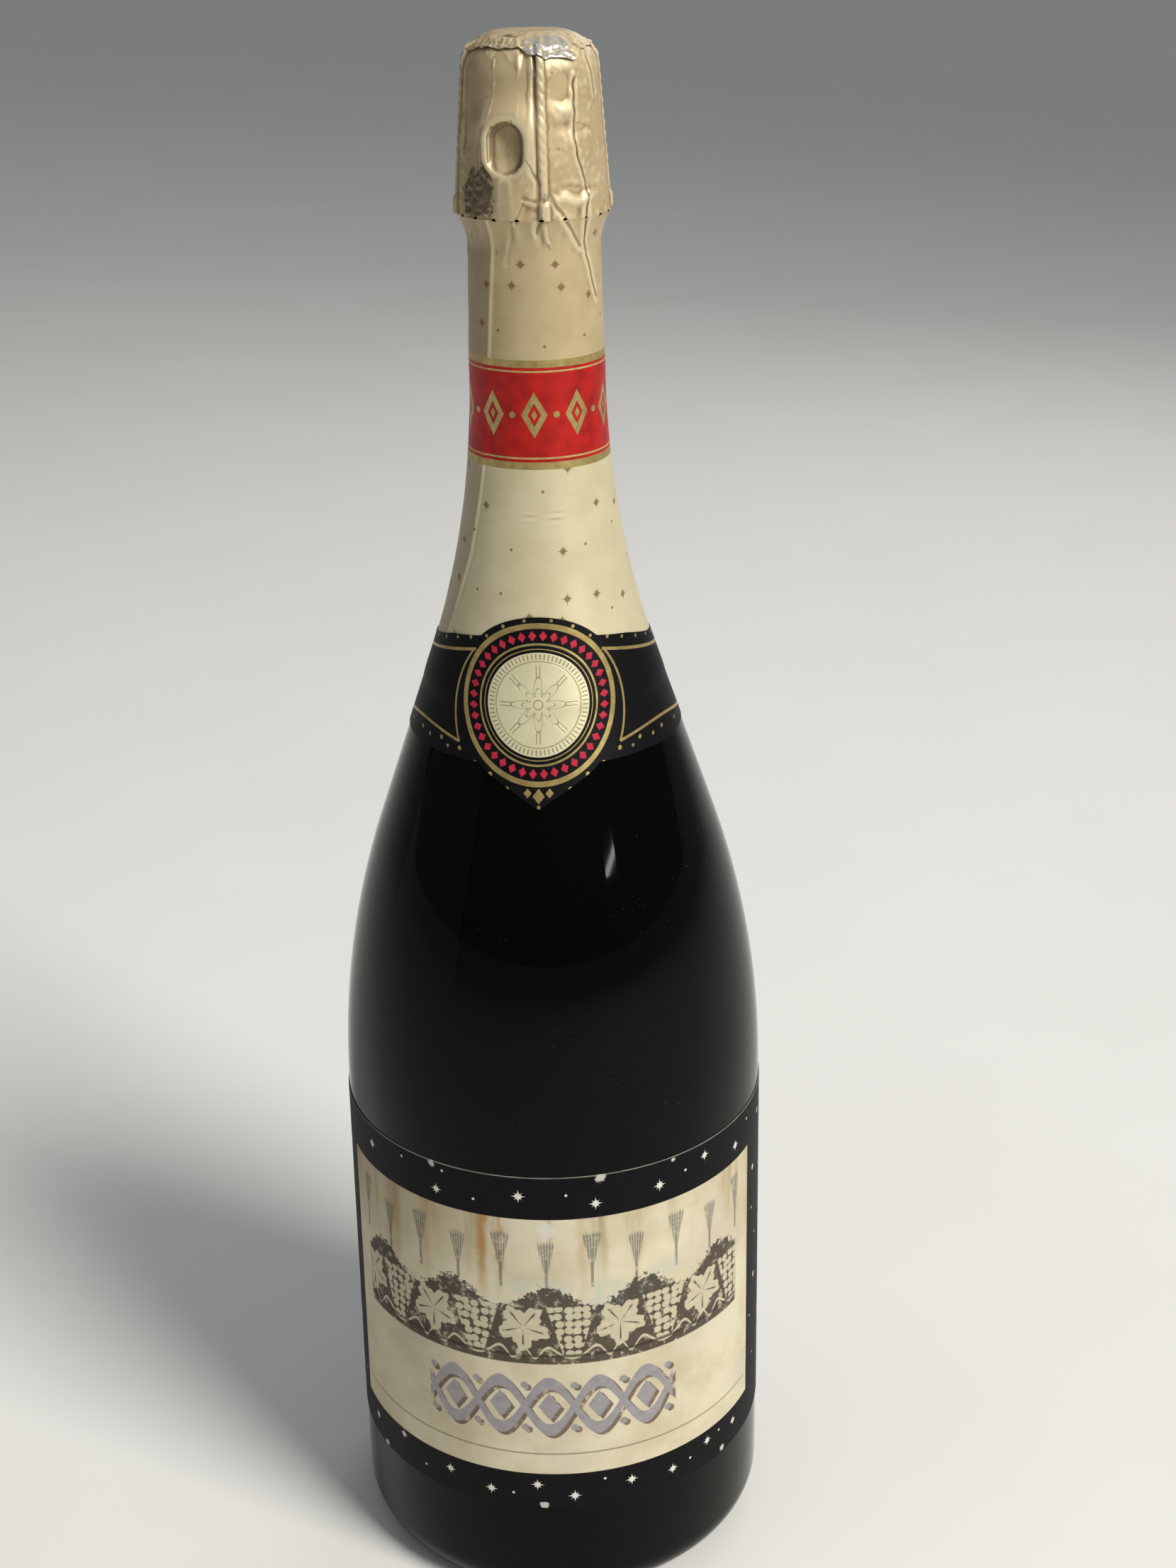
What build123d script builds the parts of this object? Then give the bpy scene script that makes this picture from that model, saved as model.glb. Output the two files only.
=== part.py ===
"""A magnum of sparkling wine: the glass, its wine and cork, the wire cage, the foil and the labels.

Millimetres, +Z up, the bottle's axis on Z and its foot on Z = 0. The labels face -Y.
A turn is an angle about Z, counted from the front (-Y) towards +X.
"""

from build123d import *
import math
import os

os.makedirs("parts", exist_ok=True)

# The glass, from the foot up
body_radius = 54.4
foot_swell = 0.8
heel_round = 11.0
shoulder_height = 136.2
shoulder_arc = 221.0
flank_lean = 19.0
neck_arc = 217.6
neck_root_radius = 15.64
neck_top_radius = 14.9
neck_length = 30.0
wall = 5.3
base_thickness = 8.0
inner_heel_round = 7.0

# The push-up in the base
bearing_width = 1.4
punt_height = 34.0
punt_dome_radius = 14.0
punt_rim_round = 1.2

# The finish: groove, cage ring, waist and crown
groove_depth = 0.6
groove_run = 2.6
groove_height = 4.8
ring_radius = 15.6
ring_height = 7.0
ring_round = 0.5
waist_depth = 2.6
waist_height = 2.4
waist_round = 0.6
crown_radius = 14.35
crown_height = 6.5
crown_foot_round = 0.6
crown_round = 1.6
bore_radius = 8.9
bore_depth = 30.0
mouth_round = 1.0

# The wine
fill_depth = 88.0
wine_film = 0.05

# The cork
cork_fit = 0.1
cork_depth = 25.0
disc_thickness = 5.5
disc_count = 2
disc_chamfer = 0.6
head_seat = 0.1
head_foot_radius = 12.6
head_radius = 14.2
head_top_radius = 11.5
head_height = 17.0
head_round = 2.0
head_waist_share = 0.45

# The metal cap under the cage
cap_seat = 0.05
cap_sheet = 0.3
cap_dish_radius = 8.6
cap_dish_height = 1.2
cap_groove_radius = 9.5
cap_rim_radius = 11.1
cap_skirt_radius = 12.6
cap_skirt_drop = 1.0
cap_bend = 0.3

# The wire cage
leg_wire = 0.7
leg_count = 4
leg_turn = 11.5
leg_pitch = 5.0
top_ring_radius = 10.4
bend_start_radius = 10.9
bend_radius = 3.7
wire_rest = 0.03
strand_bite_share = 0.06
belt_wire = 0.9
belt_drop = 0.15
eyelet_clearance = 0.05
cage_clearance = 0.1
belt_corner = 3.0

# The key of the cage
key_turn = -17.3
key_stand_off = 0.15
key_width = 10.0
key_loop_height = 13.4
key_shank = 7.0
key_pitch = 6.0
key_gap = 0.05

# The foil
foil = 0.2
foil_gap = 0.1
hood_air = 0.1
dome_air = 2.0
hood_hem_radius = 17.2
hood_top_radius = 15.1
hood_corner = 9.0
hood_fold_radius = 8.0
hem_drop = 1.5
tear_gap = 0.2
tear_hole = 0.9
tear_hole_count = 20
tear_hole_turn = 9.0
disc_radius = 13.6
disc_gap = 0.03
pad_margin = 0.45
pad_round = 0.5
foil_hem_height = 246.0
flare_start = 1.4
flare_end_radius = 17.3

# The labels
paper = 0.2
paper_gap = 0.15
label_low = 32.8
label_high = 133.7
label_wrap = 200.0
collar_wrap = 200.0
collar_band_low = 233.6
collar_band_high = 261.6
collar_centre = 247.7
collar_disc_radius = 19.4
collar_tip_drop = 25.2

# One overrun serves all cuts
overrun = 1.0


def tangent_point(centre, radius, point, side):
    """Where a line from the point touches the circle; side is +1 or -1."""
    reach = math.dist(centre, point)
    bearing = math.atan2(point[1] - centre[1], point[0] - centre[0])
    angle = bearing + side * math.acos(radius / reach)
    return (centre[0] + radius * math.cos(angle), centre[1] + radius * math.sin(angle))


def degrees_from(centre, point):
    return math.degrees(math.atan2(point[1] - centre[1], point[0] - centre[0]))


def radial_plane(turn):
    """The upright plane through the axis, its X pointing out at this turn."""
    a = math.radians(turn)
    return Plane(origin=(0, 0, 0), x_dir=(math.sin(a), -math.cos(a), 0),
                 z_dir=(-math.cos(a), -math.sin(a), 0))


def facing_plane(turn, radius):
    """The upright plane square to the radius at this turn, facing out."""
    a = math.radians(turn)
    out = Vector(math.sin(a), -math.cos(a), 0)
    return Plane(origin=out * radius, x_dir=(math.cos(a), math.sin(a), 0), z_dir=out)


# Where the arcs of the outside meet
lean = math.radians(flank_lean)
flank_low = (body_radius - shoulder_arc * (1 - math.cos(lean)),
             shoulder_height + shoulder_arc * math.sin(lean))
flank_high_radius = neck_root_radius + neck_arc * (1 - math.cos(lean))
flank_high = (flank_high_radius, flank_low[1] + (flank_low[0] - flank_high_radius) / math.tan(lean))
neck_root_height = flank_high[1] + neck_arc * math.sin(lean)
neck_top_height = neck_root_height + neck_length
foot_radius = body_radius + foot_swell
bearing_radius = foot_radius - heel_round
punt_rim = (bearing_radius - bearing_width, 0)
dome_centre = (0, punt_height - punt_dome_radius)
punt_touch = tangent_point(dome_centre, punt_dome_radius, punt_rim, 1)
punt_angle = degrees_from(dome_centre, punt_touch)
punt_slope = math.tan(math.radians(90 - punt_angle))

groove_radius = neck_top_radius - groove_depth
ring_low = neck_top_height + groove_run + groove_height
ring_high = ring_low + ring_height
waist_radius = ring_radius - waist_depth
crown_low = ring_high + waist_height
lip_height = crown_low + crown_height
fill_height = lip_height - fill_depth


def grown(point, skin):
    """A point of the flank, moved square to it by the skin."""
    return (point[0] + skin * math.cos(lean), point[1] + skin * math.sin(lean))


def flank_lines(skin):
    """The outline from the heel to the top of the neck, grown by the skin."""
    Line((foot_radius + skin, heel_round), (body_radius + skin, shoulder_height))
    JernArc((body_radius + skin, shoulder_height), (0, 1), shoulder_arc + skin, flank_lean)
    Line(grown(flank_low, skin), grown(flank_high, skin))
    JernArc(grown(flank_high, skin), (-math.sin(lean), math.cos(lean)), neck_arc - skin, -flank_lean)
    Line((neck_root_radius + skin, neck_root_height), (neck_top_radius + skin, neck_top_height))


def envelope(skin):
    """All that lies inside the outer face, grown by the skin, from the heel to the top of the neck."""
    with BuildSketch() as face:
        with BuildLine():
            flank_lines(skin)
            Polyline((neck_top_radius + skin, neck_top_height), (0, neck_top_height), (0, heel_round),
                     (foot_radius + skin, heel_round))
        make_face()
    return face.sketch_local


def cavity(inset):
    """The room inside the glass, shrunk by the inset and open at the mouth."""
    depth = wall + inset
    dome = punt_dome_radius + base_thickness + inset
    turn = math.radians(punt_angle)
    touch = (dome * math.cos(turn), dome_centre[1] + dome * math.sin(turn))
    corner = (foot_radius - depth, touch[1] - (foot_radius - depth - touch[0]) * punt_slope)
    with BuildSketch() as face:
        with BuildLine():
            CenterArc(dome_centre, dome, 90, punt_angle - 90)
            Polyline(touch, corner, (body_radius - depth, shoulder_height))
            JernArc((body_radius - depth, shoulder_height), (0, 1), shoulder_arc - depth, flank_lean)
            Line(grown(flank_low, -depth), grown(flank_high, -depth))
            JernArc(grown(flank_high, -depth), (-math.sin(lean), math.cos(lean)), neck_arc + depth, -flank_lean)
            Polyline((neck_root_radius - depth, neck_root_height), (bore_radius - inset, lip_height - bore_depth),
                     (bore_radius - inset, lip_height + overrun), (0, lip_height + overrun),
                     (0, dome_centre[1] + dome))
        make_face()
        fillet(face.vertices().sort_by_distance(corner)[0], inner_heel_round - inset)
    return face.sketch_local


# The glass: one outline from the push-up to the lip, turned about the axis, less the room inside
with BuildPart() as glass_bottle:
    with BuildSketch(Plane.XZ):
        with BuildLine():
            CenterArc(dome_centre, punt_dome_radius, 90, punt_angle - 90)
            FilletPolyline(punt_touch, punt_rim, (bearing_radius, 0), radius=punt_rim_round / 2)
            CenterArc((bearing_radius, heel_round), heel_round, -90, 90)
            flank_lines(0)
            FilletPolyline((neck_top_radius, neck_top_height), (groove_radius, neck_top_height + groove_run),
                           (groove_radius, ring_low), (ring_radius, ring_low), (ring_radius, ring_high),
                           (waist_radius, ring_high), (waist_radius, crown_low), (crown_radius, crown_low),
                           (crown_radius, lip_height), (0, lip_height),
                           radius=[groove_run / 2, ring_round / 2, ring_round, ring_round, waist_round,
                                   waist_round, crown_foot_round, crown_round])
            Line((0, lip_height), (0, punt_height))
        make_face()
        add(cavity(0), mode=Mode.SUBTRACT)
    revolve(axis=Axis.Z)
    mouth = glass_bottle.edges().filter_by(GeomType.CIRCLE).group_by(Axis.Z)[-1].sort_by(SortBy.RADIUS)[0]
    fillet(mouth, mouth_round)
glass_bottle.part.label = "glass_bottle"

# The wine fills the room up to the neck
with BuildPart() as wine:
    with BuildSketch(Plane.XZ):
        add(cavity(wine_film))
        with Locations((0, fill_height / 2)):
            Rectangle(2 * foot_radius, fill_height, mode=Mode.INTERSECT)
    revolve(axis=Axis.Z)
wine.part.label = "wine"

# The cork: two whole discs at the foot of a pressed shank, and the head that swells above the lip
cork_radius = bore_radius - cork_fit
cork_low = lip_height - cork_depth
shank_low = cork_low + disc_count * disc_thickness
head_low = lip_height + head_seat
cork_top = lip_height + head_height
with BuildPart() as cork_body:
    with BuildSketch(Plane.XZ):
        with BuildLine():
            Polyline((0, cork_top), (0, shank_low), (cork_radius, shank_low), (cork_radius, head_low),
                     (head_foot_radius, head_low))
            ThreePointArc((head_foot_radius, head_low),
                          (head_radius, head_low + head_waist_share * (cork_top - head_low)),
                          (head_top_radius, cork_top))
            Line((head_top_radius, cork_top), (0, cork_top))
        make_face()
    revolve(axis=Axis.Z)
    fillet(cork_body.edges().filter_by(GeomType.CIRCLE).sort_by(Axis.Z)[-1], head_round)
cork_body.part.label = "cork_body"

with BuildPart(Plane.XY.offset(cork_low)) as cork_disc_lower:
    Cylinder(cork_radius, disc_thickness, align=(Align.CENTER, Align.CENTER, Align.MIN))
    chamfer(cork_disc_lower.edges().filter_by(GeomType.CIRCLE).sort_by(Axis.Z)[0], disc_chamfer)
cork_disc_lower.part.label = "cork_disc_lower"

with BuildPart(Plane.XY.offset(cork_low + disc_thickness)) as cork_disc_upper:
    Cylinder(cork_radius, disc_thickness, align=(Align.CENTER, Align.CENTER, Align.MIN))
cork_disc_upper.part.label = "cork_disc_upper"

# The metal cap on the cork: a dish, a groove for the cage's top ring and a short skirt
groove_floor = cork_top + cap_seat + cap_sheet
cap_middle = cork_top + cap_seat + cap_sheet / 2
with BuildPart() as muselet_plaque:
    with BuildSketch(Plane.XZ):
        with BuildLine() as cap_line:
            FilletPolyline((0, cap_middle + cap_dish_height), (cap_dish_radius, cap_middle + cap_dish_height),
                           (cap_groove_radius, cap_middle), (cap_rim_radius, cap_middle),
                           (cap_skirt_radius, cap_middle - cap_skirt_drop), radius=cap_bend)
        trace(cap_line.line, line_width=cap_sheet)
    revolve(axis=Axis.Z)
muselet_plaque.part.label = "muselet_plaque"

# The belt lies in the groove under the glass ring and runs out through the eyelets of the legs,
# and its two ends come out side by side to the foot of the key
belt_radius = belt_wire / 2
leg_radius = leg_wire / 2
belt_height = ring_low - belt_drop - belt_radius
eyelet_bend = belt_radius + eyelet_clearance + leg_radius
eyelet_reach = ring_radius + cage_clearance + leg_radius + eyelet_bend
eyelet_outer = eyelet_reach + eyelet_bend + leg_radius
belt_hug = groove_radius + foil_gap + belt_radius
belt_point = (eyelet_reach - belt_corner) * belt_hug / (belt_hug - belt_corner)
belt_spread = math.degrees(math.acos(belt_hug / belt_point))
corner_reach = eyelet_reach - belt_corner
leg_step = 360 / leg_count
first_leg = leg_turn - 90
strand_gap = belt_radius * (1 - strand_bite_share)
key_reach = ring_radius + key_stand_off + belt_wire
stub_end = key_reach - strand_gap - belt_radius - key_gap


def flat(reach, way):
    """A point of the level plane, by its distance from the axis and its way."""
    return (reach * math.cos(math.radians(way)), reach * math.sin(math.radians(way)))


with BuildPart() as muselet_belt:
    with BuildLine(Plane.XY.offset(belt_height)) as belt_path:
        for n in range(leg_count):
            way = first_leg + n * leg_step
            centre = flat(corner_reach, way)
            for side in (1, -1):
                off = flat(belt_corner, way + side * belt_spread)
                Line((centre[0] + off[0], centre[1] + off[1]), flat(belt_hug, way + side * belt_spread))
            CenterArc(centre, belt_corner, way - belt_spread, 2 * belt_spread)
            CenterArc((0, 0), belt_hug, way + belt_spread, leg_step - 2 * belt_spread)
    with BuildSketch(Plane(origin=belt_path.line @ 0, z_dir=belt_path.line % 0)):
        Circle(belt_radius)
    sweep(path=belt_path.line)
    with BuildSketch(facing_plane(key_turn, belt_hug)):
        with Locations((strand_gap, belt_height), (-strand_gap, belt_height)):
            Circle(belt_radius)
    extrude(amount=stub_end - belt_hug)
muselet_belt.part.label = "muselet_belt"

# The cage: a ring in the groove of the cap, and legs of two strands that end in eyelets round the belt
ring_wire_height = groove_floor + wire_rest + leg_radius
bend_centre = (bend_start_radius, ring_wire_height - bend_radius)
eyelet_top = (eyelet_reach, belt_height + eyelet_bend)
leg_head = tangent_point(bend_centre, bend_radius, eyelet_top, 1)
bend_end = degrees_from(bend_centre, leg_head)
leg_way = Vector(eyelet_top[0] - leg_head[0], 0, eyelet_top[1] - leg_head[1])
strand_shift = leg_radius * (1 - strand_bite_share)


def strands(radius, shift):
    """The section of a pair of strands, side by side."""
    with BuildSketch() as pair:
        with Locations((0, shift), (0, -shift)):
            Circle(radius)
    return pair.sketch_local


def twist(pair, foot, way, pitch):
    """A pair of strands wound round each other along a straight way."""
    plane = Plane(origin=foot, x_dir=way.cross(Vector(0, 1, 0)), z_dir=way)
    return Solid.extrude_linear_with_rotation((plane * pair).face(), foot, way, 360 * way.length / pitch)


leg_twist = twist(strands(leg_radius, strand_shift), Vector(leg_head[0], 0, leg_head[1]), leg_way, leg_pitch)
with BuildPart() as leg:
    with BuildLine(Plane.XZ) as leg_path:
        Line((top_ring_radius, ring_wire_height), (bend_start_radius, ring_wire_height))
        CenterArc(bend_centre, bend_radius, 90, bend_end - 90)
    with BuildSketch(Plane(origin=(top_ring_radius, 0, ring_wire_height), x_dir=(0, 0, 1), z_dir=(1, 0, 0))):
        add(strands(leg_radius, strand_shift))
    sweep(path=leg_path.line)
    add(leg_twist)
    with Locations(Location((eyelet_reach, 0, belt_height), (90, 0, 0))):
        Torus(eyelet_bend, leg_radius)

with BuildPart() as muselet_cage:
    with Locations((0, 0, ring_wire_height)):
        Torus(top_ring_radius, leg_radius)
    with PolarLocations(0, leg_count, start_angle=first_leg):
        add(leg.part)
muselet_cage.part.label = "muselet_cage"

# The key: the ends of the belt twisted into a shank, with an eye to turn it by
key_turn_plane = radial_plane(key_turn)
key_way = key_turn_plane.x_dir
loop_radius = (key_width - belt_wire) / 2
loop_run = key_loop_height - key_width
loop_low = belt_height + key_shank
key_twist = twist(strands(belt_radius, strand_gap),
                  key_way * key_reach + Vector(0, 0, belt_height),
                  Vector(0, 0, key_shank + belt_wire), key_pitch)
with BuildPart() as muselet_key:
    with BuildLine(facing_plane(key_turn, key_reach)) as eye_path:
        CenterArc((0, loop_low + belt_radius + loop_radius), loop_radius, 180, 180)
        Line((loop_radius, loop_low + belt_radius + loop_radius),
             (loop_radius, loop_low + belt_radius + loop_radius + loop_run))
        CenterArc((0, loop_low + belt_radius + loop_radius + loop_run), loop_radius, 0, 180)
        Line((-loop_radius, loop_low + belt_radius + loop_radius + loop_run),
             (-loop_radius, loop_low + belt_radius + loop_radius))
    with BuildSketch(Plane(origin=eye_path.line @ 0, z_dir=eye_path.line % 0)):
        Circle(belt_radius)
    sweep(path=eye_path.line)
    add(key_twist)
    with BuildSketch(facing_plane(key_turn + 90, 0)):
        with Locations((-key_reach, belt_height)):
            Circle(belt_radius)
    extrude(amount=belt_wire, both=True)
muselet_key.part.label = "muselet_key"

# The hood: a foil skirt that domes in over the cap, pressed out over the legs, the eyelets and the key
hem_height = belt_height - hem_drop
cap_top = cap_middle + cap_dish_height + cap_sheet / 2
hood_ceiling = cap_top + dome_air
corner_height = hood_ceiling - hood_corner
pad_reach = key_reach + belt_radius + hood_air


def skirt(skin):
    """The plain outline of the hood, filled to the axis and grown by the skin."""
    with BuildSketch() as face:
        with BuildLine():
            Line((hood_hem_radius + skin, hem_height), (hood_top_radius + skin, corner_height))
            CenterArc((hood_top_radius - hood_corner, corner_height), hood_corner + skin, 0, 90)
            Polyline((hood_top_radius - hood_corner, hood_ceiling + skin), (0, hood_ceiling + skin),
                     (0, hem_height), (hood_hem_radius + skin, hem_height))
        make_face()
    return face.sketch_local


def sleeve(skin):
    """The room for one leg with its bend and its eyelet, down to the hem, grown by the skin."""
    room = leg_wire + hood_air + skin
    eye_room = eyelet_outer - eyelet_reach + hood_air + skin
    with BuildPart() as tube:
        with BuildLine(Plane.XZ) as bend:
            CenterArc(bend_centre, bend_radius, 90, bend_end - 90)
        with BuildSketch(Plane(origin=bend.line @ 0, z_dir=bend.line % 0)):
            Circle(room)
        sweep(path=bend.line)
        with Locations((leg_head[0], 0, leg_head[1])):
            Sphere(room)
        with BuildSketch(Plane(origin=(leg_head[0], 0, leg_head[1]), z_dir=leg_way)):
            Circle(room)
        extrude(amount=leg_way.length)
        with Locations((eyelet_reach, 0, belt_height)):
            Sphere(eye_room)
            Cylinder(eye_room, hem_drop, align=(Align.CENTER, Align.CENTER, Align.MAX))
    return tube.part


def pad(skin):
    """The room for the key and its eye, down to the hem, grown by the skin."""
    half = key_width / 2 + pad_margin + skin
    eye_centre = loop_low + belt_radius + loop_radius + loop_run
    with BuildPart() as block:
        with BuildSketch(facing_plane(key_turn, 0)):
            with Locations((0, eye_centre)):
                Circle(half)
                Rectangle(2 * half, eye_centre - hem_height, align=(Align.CENTER, Align.MAX))
        extrude(amount=pad_reach + skin)
        fillet(block.faces().sort_by(Axis((0, 0, 0), key_way))[-1].edges(), pad_round + skin)
        with Locations(key_way * key_reach + Vector(0, 0, hem_height)):
            Cylinder(belt_wire + hood_air + skin, loop_low + belt_wire - hem_height,
                     align=(Align.CENTER, Align.CENTER, Align.MIN))
    return block.part


def hood_form(skin):
    """The hood as one lump, grown by the skin."""
    legs, key_room = sleeve(skin), pad(skin)
    with BuildPart() as lump:
        with BuildSketch(Plane.XZ):
            add(skirt(skin))
        revolve(axis=Axis.Z)
        with PolarLocations(0, leg_count, start_angle=first_leg):
            add(legs)
        add(key_room)
        with BuildSketch(Plane.XY.offset(hem_height)):
            Circle(foot_radius)
        extrude(amount=-foot_radius, mode=Mode.SUBTRACT)
    return lump.part


# The tear line is a row of small holes between the hood and the foil of the neck
with BuildPart() as tear_holes:
    with Locations((0, 0, hem_height - tear_gap / 2)):
        with PolarLocations(hood_hem_radius, tear_hole_count, start_angle=tear_hole_turn - 90):
            Cylinder(tear_hole / 2, 2 * eyelet_outer - 2 * groove_radius, rotation=(0, 90, 0))

hood_outer = hood_form(foil)
hood_inner = hood_form(0)
with BuildPart() as foil_hood:
    add(hood_outer)
    add(hood_inner, mode=Mode.SUBTRACT)
    with Locations((0, 0, hood_ceiling)):
        Cylinder(hood_fold_radius, 2 * overrun, mode=Mode.SUBTRACT)
    add(tear_holes.part, mode=Mode.SUBTRACT)
foil_hood.part.label = "foil_hood"

# A disc of foil closes the top of the hood, pressed down over its dome and the bends of the legs
disc_outer = hood_form(2 * foil + disc_gap)
disc_inner = hood_form(foil + disc_gap)
with BuildPart() as foil_top_disc:
    add(disc_outer)
    add(disc_inner, mode=Mode.SUBTRACT)
    with Locations((0, 0, hood_ceiling)):
        Cylinder(disc_radius, 2 * hood_corner, mode=Mode.INTERSECT)
foil_top_disc.part.label = "foil_top_disc"

# The foil of the neck follows the glass, and flares out to meet the hood at the tear line
flare_low = neck_top_height - flare_start
flare_top = hem_height - tear_gap
flare_low_radius = (neck_top_radius + foil_gap
                    + (neck_root_radius - neck_top_radius) * flare_start / neck_length)
with BuildPart() as neck_foil:
    with BuildSketch(Plane.XZ):
        add(envelope(foil_gap + foil))
        add(envelope(foil_gap), mode=Mode.SUBTRACT)
        with Locations((0, (foil_hem_height + flare_low) / 2)):
            Rectangle(2 * foot_radius, flare_low - foil_hem_height, mode=Mode.INTERSECT)
        with BuildLine():
            Polyline((flare_low_radius, flare_low), (flare_end_radius, flare_top),
                     (flare_end_radius + foil, flare_top), (flare_low_radius + foil, flare_low), close=True)
        make_face()
    revolve(axis=Axis.Z)
    add(tear_holes.part, mode=Mode.SUBTRACT)
neck_foil.part.label = "neck_foil"

# The collar label: a band round the flank with a round shield in front that runs down to a tip
collar_skin = 2 * foil_gap + foil
tip = (0, collar_centre - collar_tip_drop)
tip_left = tangent_point((0, collar_centre), collar_disc_radius, tip, -1)
tip_right = tangent_point((0, collar_centre), collar_disc_radius, tip, 1)
with BuildPart() as collar_label:
    with BuildSketch(radial_plane(-collar_wrap / 2)):
        add(envelope(collar_skin + paper))
        add(envelope(collar_skin), mode=Mode.SUBTRACT)
        with Locations((0, collar_centre)):
            Rectangle(2 * foot_radius, 2 * collar_tip_drop, mode=Mode.INTERSECT)
    revolve(axis=Axis.Z, revolution_arc=collar_wrap)
    with BuildSketch(Plane.XZ):
        with Locations((0, collar_centre)):
            Circle(collar_disc_radius)
        with Locations((0, (collar_band_low + collar_band_high) / 2)):
            Rectangle(2 * foot_radius, collar_band_high - collar_band_low)
        with BuildLine():
            Polyline(tip, tip_right, (0, collar_centre), tip_left, close=True)
        make_face()
    extrude(amount=foot_radius, both=True, mode=Mode.INTERSECT)
collar_label.part.label = "collar_label"

# The body label wraps the straight part of the body
with BuildPart() as body_label:
    with BuildSketch(radial_plane(-label_wrap / 2)):
        add(envelope(paper_gap + paper))
        add(envelope(paper_gap), mode=Mode.SUBTRACT)
        with Locations((0, (label_low + label_high) / 2)):
            Rectangle(3 * foot_radius, label_high - label_low, mode=Mode.INTERSECT)
    revolve(axis=Axis.Z, revolution_arc=label_wrap)
body_label.part.label = "body_label"

for piece in (glass_bottle, wine, cork_body, cork_disc_upper, cork_disc_lower, muselet_plaque, muselet_cage,
              muselet_belt, muselet_key, foil_hood, foil_top_disc, neck_foil, collar_label, body_label):
    export_step(piece.part, f"parts/{piece.part.label}.step")
print(f"foot radius {foot_radius:.2f}, lip {lip_height:.2f}, top {hood_ceiling + 2 * foil + disc_gap:.2f}, "
      f"ring {ring_low:.2f} to {ring_high:.2f}, belt {belt_height:.2f}, fill {fill_height:.2f}, "
      f"eyelet {eyelet_reach:.2f}, key {key_reach:.2f}")
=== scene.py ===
# %% [markdown]
# # A magnum of sparkling wine
#
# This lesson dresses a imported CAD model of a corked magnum. Glass, foils and labels are modelled again, finely
# enough to catch the light, and every surface gets a material made of shader nodes.

# %% The frame
import math
from functools import reduce

import bpy
import numpy as np
from mathutils import Matrix, Vector, noise


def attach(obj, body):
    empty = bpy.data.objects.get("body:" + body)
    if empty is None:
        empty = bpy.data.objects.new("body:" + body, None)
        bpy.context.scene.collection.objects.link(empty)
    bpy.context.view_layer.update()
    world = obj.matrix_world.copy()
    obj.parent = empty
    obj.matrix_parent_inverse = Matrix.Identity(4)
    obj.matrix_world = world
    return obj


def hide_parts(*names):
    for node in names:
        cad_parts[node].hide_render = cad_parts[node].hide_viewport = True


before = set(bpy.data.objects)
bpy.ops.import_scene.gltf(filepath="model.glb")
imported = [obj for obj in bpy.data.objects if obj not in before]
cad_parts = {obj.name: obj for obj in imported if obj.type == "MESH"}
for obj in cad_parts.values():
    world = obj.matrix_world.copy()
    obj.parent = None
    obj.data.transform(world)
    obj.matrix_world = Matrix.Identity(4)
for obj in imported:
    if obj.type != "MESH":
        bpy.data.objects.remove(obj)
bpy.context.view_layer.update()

# %% [markdown]
# ## The camera
#
# The bottle is seen from a little above its shoulder, with a 50 mm lens on a tall frame. The camera is placed
# by its matrix: the small turn to one side, how far it looks down, and how far it is rolled.

# %% The camera
lens = bpy.data.cameras.new("camera")
lens.sensor_fit = "VERTICAL"
lens.sensor_height = 36
lens.sensor_width = 27
lens.lens = 50.53
lens.clip_start = 0.01
camera = bpy.data.objects.new("camera", lens)
bpy.context.scene.collection.objects.link(camera)
view = Matrix.Translation((0.03, -0.5123, 0.4312))
for degrees, axis in ((2.2, "Z"), (67.16, "X"), (-0.93, "Z")):
    view = view @ Matrix.Rotation(math.radians(degrees), 4, axis)
camera.matrix_world = view
bpy.context.scene.camera = camera
print("camera at", [round(c, 4) for c in camera.matrix_world.translation])

# %% [markdown]
# ## Shader sums
#
# Prints, stains and creases are easier to read as sums than as a web of nodes. A `Flow` is one output of a
# node. Python's own signs between flows add Math nodes, so `1 - mask` works, and a share lays one colour over
# another. A `Paint` is a material under construction, and its method `node` makes every kind of node.

# %% Flow and Paint
class Flow:
    """One output of a shader node, which takes part in sums as a number does."""

    def __init__(self, paint, socket):
        self.paint, self.socket = paint, socket

    def maths(self, operation, *others):
        return self.paint.node("Math", {"operation": operation}, dict(enumerate((self, *others))))

    def __rsub__(self, other):
        return self.paint.node("Math", {"operation": "SUBTRACT"}, {0: other, 1: self})

    def rise(self, low, high):
        """0 below low, 1 above high and smooth between; high may be the smaller."""
        return self.paint.node("MapRange", {"interpolation_type": "SMOOTHSTEP"},
                               {"Value": self, "From Min": low, "From Max": high})

    def near(self, middle, far, full):
        """1 within full of the middle, 0 beyond far."""
        return abs(self - middle).rise(far, full)

    def between(self, low, high):
        """A colour between two, by this share."""
        return self.paint.node("Mix", {"data_type": "RGBA"}, {0: self, 6: low, 7: high}, 2)

    def coats(self, *layers):
        """This colour under further coats, each with its share and its colour."""
        colour = self
        for share, coat in layers:
            colour = share.between(colour, coat)
        return colour

    def other(self, name):
        """Another output of the same node."""
        return Flow(self.paint, self.socket.node.outputs[name])

    def parts(self):
        whole = self.paint.node("SeparateXYZ", {}, {0: self})
        return [whole.other(k) for k in range(3)]

    def stretch(self, x, y, z):
        return self.paint.node("Mapping", {}, {"Vector": self, "Scale": (x, y, z)})

    def grain(self, scale, detail=3, rough=0.5):
        return self.paint.node("TexNoise", {}, {"Vector": self, "Scale": scale, "Detail": detail,
                                                "Roughness": rough})

    def cells(self, out, scale, loose=1, space="3D"):
        return self.paint.node("TexVoronoi", {"voronoi_dimensions": space},
                               {"Vector": self, "Scale": scale, "Randomness": loose}, out)


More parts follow.
